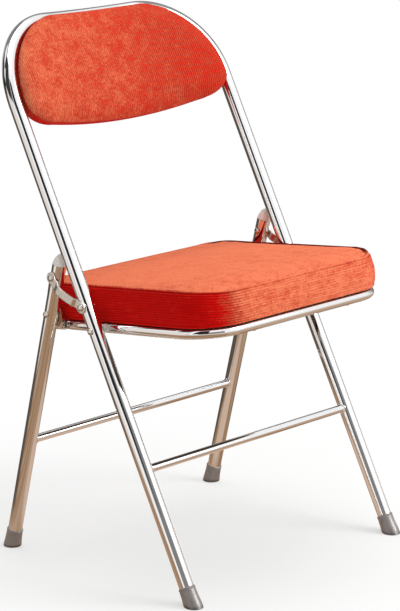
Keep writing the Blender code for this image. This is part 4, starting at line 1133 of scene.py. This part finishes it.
def rivet_profile(tail_at, head_at):
    """Distances from the chair's middle and radii, from the tail to the top of the head."""
    end = tail_at - RIVET_TAIL_HEIGHT
    profile = [(end, 0.0), (end + RIVET_FINE, RIVET_TAIL_RADIUS * 0.55),
               (tail_at - RIVET_TAIL_HEIGHT * 0.75, RIVET_TAIL_RADIUS * 0.85),
               (tail_at - RIVET_TAIL_HEIGHT * 0.3, RIVET_TAIL_RADIUS),
               (tail_at - RIVET_FINE, RIVET_TAIL_RADIUS * 0.98), (tail_at, PIN_RADIUS),
               (head_at, PIN_RADIUS), (head_at + RIVET_FINE, RIVET_HEAD_RADIUS * 0.97)]
    return profile + [(head_at + 2 * RIVET_FINE + RIVET_HEAD_HEIGHT * sin(t),
                       RIVET_HEAD_RADIUS * cos(t) ** RIVET_DOME)
                      for t in np.radians(np.linspace(0, 90, RIVET_DOME_STEPS))]


def add_rivets(name, body, rows, nodes):
    paths, girths = [], []
    for y, z, tail_at, head_at in rows:
        profile = rivet_profile(tail_at, head_at)
        for side in (-1, 1):
            paths.append([(side * along, y, z) for along, radius in profile])
            girths.append([radius for along, radius in profile])
    rivets = sweep_tube(name, paths, 1.0, ZINC, sides=RIVET_SIDES, girths=girths)
    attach(rivets, body)
    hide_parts(*nodes)


add_rivets("front_rivets", "front_frame", [SEAT_RIVET, FRONT_LINK_RIVET],
           ["seat_rivet_left", "seat_rivet_right", "link_rivet_left", "link_rivet_right"])
add_rivets("rear_rivets", "rear_frame", [BRACKET_RIVET, REAR_LINK_RIVET],
           ["rear_seat_rivet_left", "rear_seat_rivet_right",
            "rear_link_rivet_left", "rear_link_rivet_right"])


# Bushes: short tubes turned from off-white nylon. They sit on the seat rivets and keep the seat
# loop clear of the front tubes.
NYLON_CLEAN, NYLON_STAINED = (0.74, 0.72, 0.66, 1), (0.56, 0.53, 0.47, 1)
LATHE_RINGS = 18000.0


def nylon_material():
    """Off-white turned nylon with fine rings from the lathe."""
    material, spot = new_material("nylon")
    ring = (add_node(spot.tree, "SeparateXYZ", {0: spot}) * LATHE_RINGS).work("SINE")
    stain = noise(spot, 220.0, 4.0)
    return lead_in(material, stain.step(0.35, 0.7).mix(NYLON_CLEAN, NYLON_STAINED),
                   stain.step(0.3, 0.7, 0.35, 0.5), ring, 0.1, 0.0001)


NYLON = nylon_material()
for side, word in SIDES:
    dress(f"seat_bush_{word}", NYLON)


# Back board: a bowed plywood panel let into the rear of the back pad, screwed to four small tabs
# that are welded inside the hoop.
TAB_EDGE, TAB_SHARP = 0.0005, 35
BACK_SCREW_LENGTH, BACK_SCREW_SEAT = 0.0071, 0.0071

dress("back_board", PLYWOOD)
tab_nodes = [f"back_tab_{row}_{word}" for row in ("lower", "upper") for side, word in SIDES]
bm = bmesh.new()
for node in tab_nodes:
    bm.from_mesh(frame["nodes"][node].data)
bmesh.ops.remove_doubles(bm, verts=bm.verts, dist=1e-5)
bmesh.ops.dissolve_limit(bm, angle_limit=radians(0.6), verts=bm.verts, edges=bm.edges)
tabs = new_object("hoop_tabs", bm, ZINC)
ease_edges(tabs, TAB_EDGE)
tabs = plain_mesh(tabs)
shade(tabs, TAB_SHARP)
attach(tabs, "front_frame")
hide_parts(*tab_nodes)

places, ways = [], []
screw_nodes = [node.replace("tab", "screw") for node in tab_nodes]
for node in screw_nodes:
    low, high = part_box(node)
    middle = (Vector(low) + Vector(high)) / 2
    slope = -2 * HOOP_BOW * middle.x / HALF_TRACK ** 2
    up = (middle - front_point(0, 0, 0)).dot(front_point(0, 0, 1) - front_point(0, 0, 0))
    places.append(front_point(middle.x, bow(middle.x) + BACK_SCREW_SEAT, up))
    ways.append((front_point(slope, -1, 0) - front_point(0, 0, 0)).normalized())
back_screws = set_screws("back_screws", places, ways, BACK_SCREW_LENGTH)
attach(back_screws, "front_frame")
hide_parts(*screw_nodes)


# Back pad: bowed foam pad in the same corduroy, its rim tucked inside the hoop and its front
# lapped over the tube. The wales run up and down.
BACK_BOTTOM, BACK_SAG = 0.712, 0.008
BACK_CORNER_WIDE, BACK_CORNER_TALL = 0.056, 0.034
BACK_SIDE_IN, BACK_TOP_IN, BACK_BOTTOM_IN = 0.0088, -0.0030, -0.0011
BACK_REAR, BACK_LIP, BACK_FRONT = -0.0040, 0.0122, 0.0310
BACK_CROWN = 0.0020
BACK_ROUND, BACK_ROUND_FROM, BACK_ROUND_ROWS, BACK_ROUND_SHAPE = 0.026, 8, 8, 0.9
BACK_CORNER_IN, BACK_CORNER_SHAPE, BACK_CORNER_ROUND = 0.0032, 2.6, 0.4
BACK_SHARES = [0.150, 0.345, 0.655, 0.850]
BACK_STEPS = 28
EDGE_STEPS, CORNER_STEPS, HOOP_STEPS, CREST_STEPS = 30, 18, 40, 12
BACK_WALE_SHARE = 0.9
BACK_HELD, BACK_HELD_RUN = BACK_LIP + 0.006, 0.004
# Depth ahead of the hoop's axis, then how far in at the sides, top, bottom and upper corners.
BACK_ROWS = [(0.0023, 0.0100, 0.0218, 0.0081, 0.0), (BACK_REAR, 0.0100, 0.0218, 0.0081, 0.0),
             (BACK_REAR, 0.0050, 0.0168, 0.0031, 0.0), (-0.0020, 0.0030, 0.0148, 0.0011, 0.0),
             (0.0040, 0.0030, 0.0148, 0.0011, 0.0), (0.0100, 0.0030, 0.0148, 0.0011, 0.0),
             (0.0118, 0.0012, 0.0120, 0.0006, 0.0), (BACK_LIP, 0.0004, 0.0030, 0.0002, BACK_CORNER_IN)]
# Painted light and shade of the back pad: darker to the right and at the rim, lighter where the rounding
# turns left or down.
BACK_PAINTED_LIGHT, BACK_PAINTED_SHADE_ACROSS = 0.53, 0.78
BACK_PAINTED_LIGHT_LEFT, BACK_PAINTED_LIGHT_DOWN, BACK_PAINTED_SHADE_RIM = 0.30, 0.06, 0.60
# Strength of the painted shade in the back pad's grooves.
BACK_GROOVE_SHADE, BACK_GROOVE_SHADE_RIGHT, BACK_GROOVE_SHADE_EDGE = 0.32, 5.5, 0.5
BACK_CRUSH, BACK_CRUSH_RIGHT, BACK_CRUSH_RUN = 0.92, 0.35, 0.18
RIM_AHEAD, RIM_LEFT, RIM_LEFT_RUN, RIM_SOFT = 0.001, 0.003, 0.2, 0.006
OFF_SEAM = 0.01


def back_outline(side_in, top_in, bottom_in):
    """Closed outline across and up: sagging lower edge, round corners, then the hoop's curve."""
    wide, tall = HOOP_RADIUS - side_in, HOOP_RADIUS - top_in
    low = BACK_BOTTOM + bottom_in
    corner_x = bend_x + wide - BACK_CORNER_WIDE
    corner_up = low + BACK_SAG + BACK_CORNER_TALL
    right = [(corner_x * t, low + BACK_SAG * t * t) for t in np.linspace(0, 1, EDGE_STEPS)[1:-1]]
    right += [(corner_x + BACK_CORNER_WIDE * cos(a), corner_up + BACK_CORNER_TALL * sin(a))
              for a in np.radians(np.linspace(-90, 0, CORNER_STEPS))]
    right += [(bend_x + wide * cos(a), bend_z + tall * sin(a))
              for a in np.radians(np.linspace(0, 90, HOOP_STEPS))]
    right += [(bend_x * t, bend_z + tall) for t in np.linspace(1, 0, CREST_STEPS)[1:-1]]
    return [(0, low)] + right + [(0, bend_z + tall)] + [(-x, z) for x, z in reversed(right)]


def back_ring_edge(side, top, bottom, corner):
    """The outline moved in by different amounts at the sides, top, bottom and upper corners."""
    out_x, out_up = back_out[:, 0], np.maximum(back_out[:, 1], 0) ** 2
    move = side * out_x ** 2 + top * out_up + bottom * np.minimum(back_out[:, 1], 0) ** 2
    move += corner * BACK_CORNER_SHAPE * np.abs(out_x) * out_up
    return back_edge - back_out * move[:, None]


def back_point(x, depth, up):
    return front_point(x, bow(x) - depth, up)


def back_panel(edge, depth):
    """Fills a panel inside an edge, at a depth by the share of the way out."""
    return panel_filler(edge, np.array([0.0, (BACK_BOTTOM + HOOP_TOP) / 2]),
                        lambda x, up, share: back_point(x, depth(share), up))


back_edge, back_out = even_outline(back_outline(BACK_SIDE_IN, BACK_TOP_IN, BACK_BOTTOM_IN),
                                   BACK_SHARES, 2 * BACK_STEPS)
pad_rows = list(BACK_ROWS)
for turn in np.radians(np.linspace(BACK_ROUND_FROM, 90, BACK_ROUND_ROWS)):
    inward = BACK_ROUND * (1 - cos(turn))
    rise = sin(turn) ** BACK_ROUND_SHAPE
    pad_rows.append((BACK_LIP + (BACK_FRONT - BACK_CROWN - BACK_LIP) * rise, inward, inward, inward,
                     BACK_CORNER_IN + BACK_CORNER_ROUND * inward))
back_edges = [back_ring_edge(*row[1:]) for row in pad_rows]
rings = [[back_point(x, row[0], z) for x, z in edge] for row, edge in zip(pad_rows, back_edges)]
back_pad = pad_mesh("back_pad", rings,
                    back_panel(back_edges[0], lambda share: pad_rows[0][0]),
                    back_panel(back_edges[-1], lambda share: BACK_FRONT - BACK_CROWN * share ** 2))
x, behind, up = plane_places(back_pad, FRONT_FLOOR, FRONT_LEAN)
blow_up(back_pad, limited((BACK_HELD - (bow(x) - behind)) / BACK_HELD_RUN))
back_pad = subdivided(back_pad)
x, behind, up = plane_places(back_pad, FRONT_FLOOR, FRONT_LEAN)
depth = bow(x) - behind
normal = mesh_normals(back_pad.data)
round_side = np.sign(x) * (BACK_FRONT - depth) * np.abs(normal[:, 0])
turned_left = limited(-normal[:, 0])
turned_down = limited(-normal[:, 1] * sin(FRONT_LEAN) - normal[:, 2] * cos(FRONT_LEAN))
rim = limited((BACK_LIP + RIM_AHEAD + RIM_LEFT * limited(-x / RIM_LEFT_RUN) - depth) / RIM_SOFT)
# Painted light and shade by side and at the rim, and painted shade in the grooves.
store(back_pad.data, seam=np.full(len(x), OFF_SEAM), wale=(x + round_side) * BACK_WALE_SHARE, wale_band=x,
      along=up,
      lean=(BACK_PAINTED_LIGHT - BACK_PAINTED_SHADE_ACROSS * x - BACK_PAINTED_SHADE_RIM * rim
            + np.maximum(BACK_PAINTED_LIGHT_LEFT * turned_left, BACK_PAINTED_LIGHT_DOWN * turned_down)),
      ribs=limited(BACK_GROOVE_SHADE + BACK_GROOVE_SHADE_RIGHT * np.maximum(x, 0) + BACK_GROOVE_SHADE_EDGE * (turned_left + rim)),
      crush=BACK_CRUSH - BACK_CRUSH_RIGHT * limited(x / BACK_CRUSH_RUN), welt=np.zeros(len(x)))
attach(back_pad, "front_frame")
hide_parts("back_cushion")
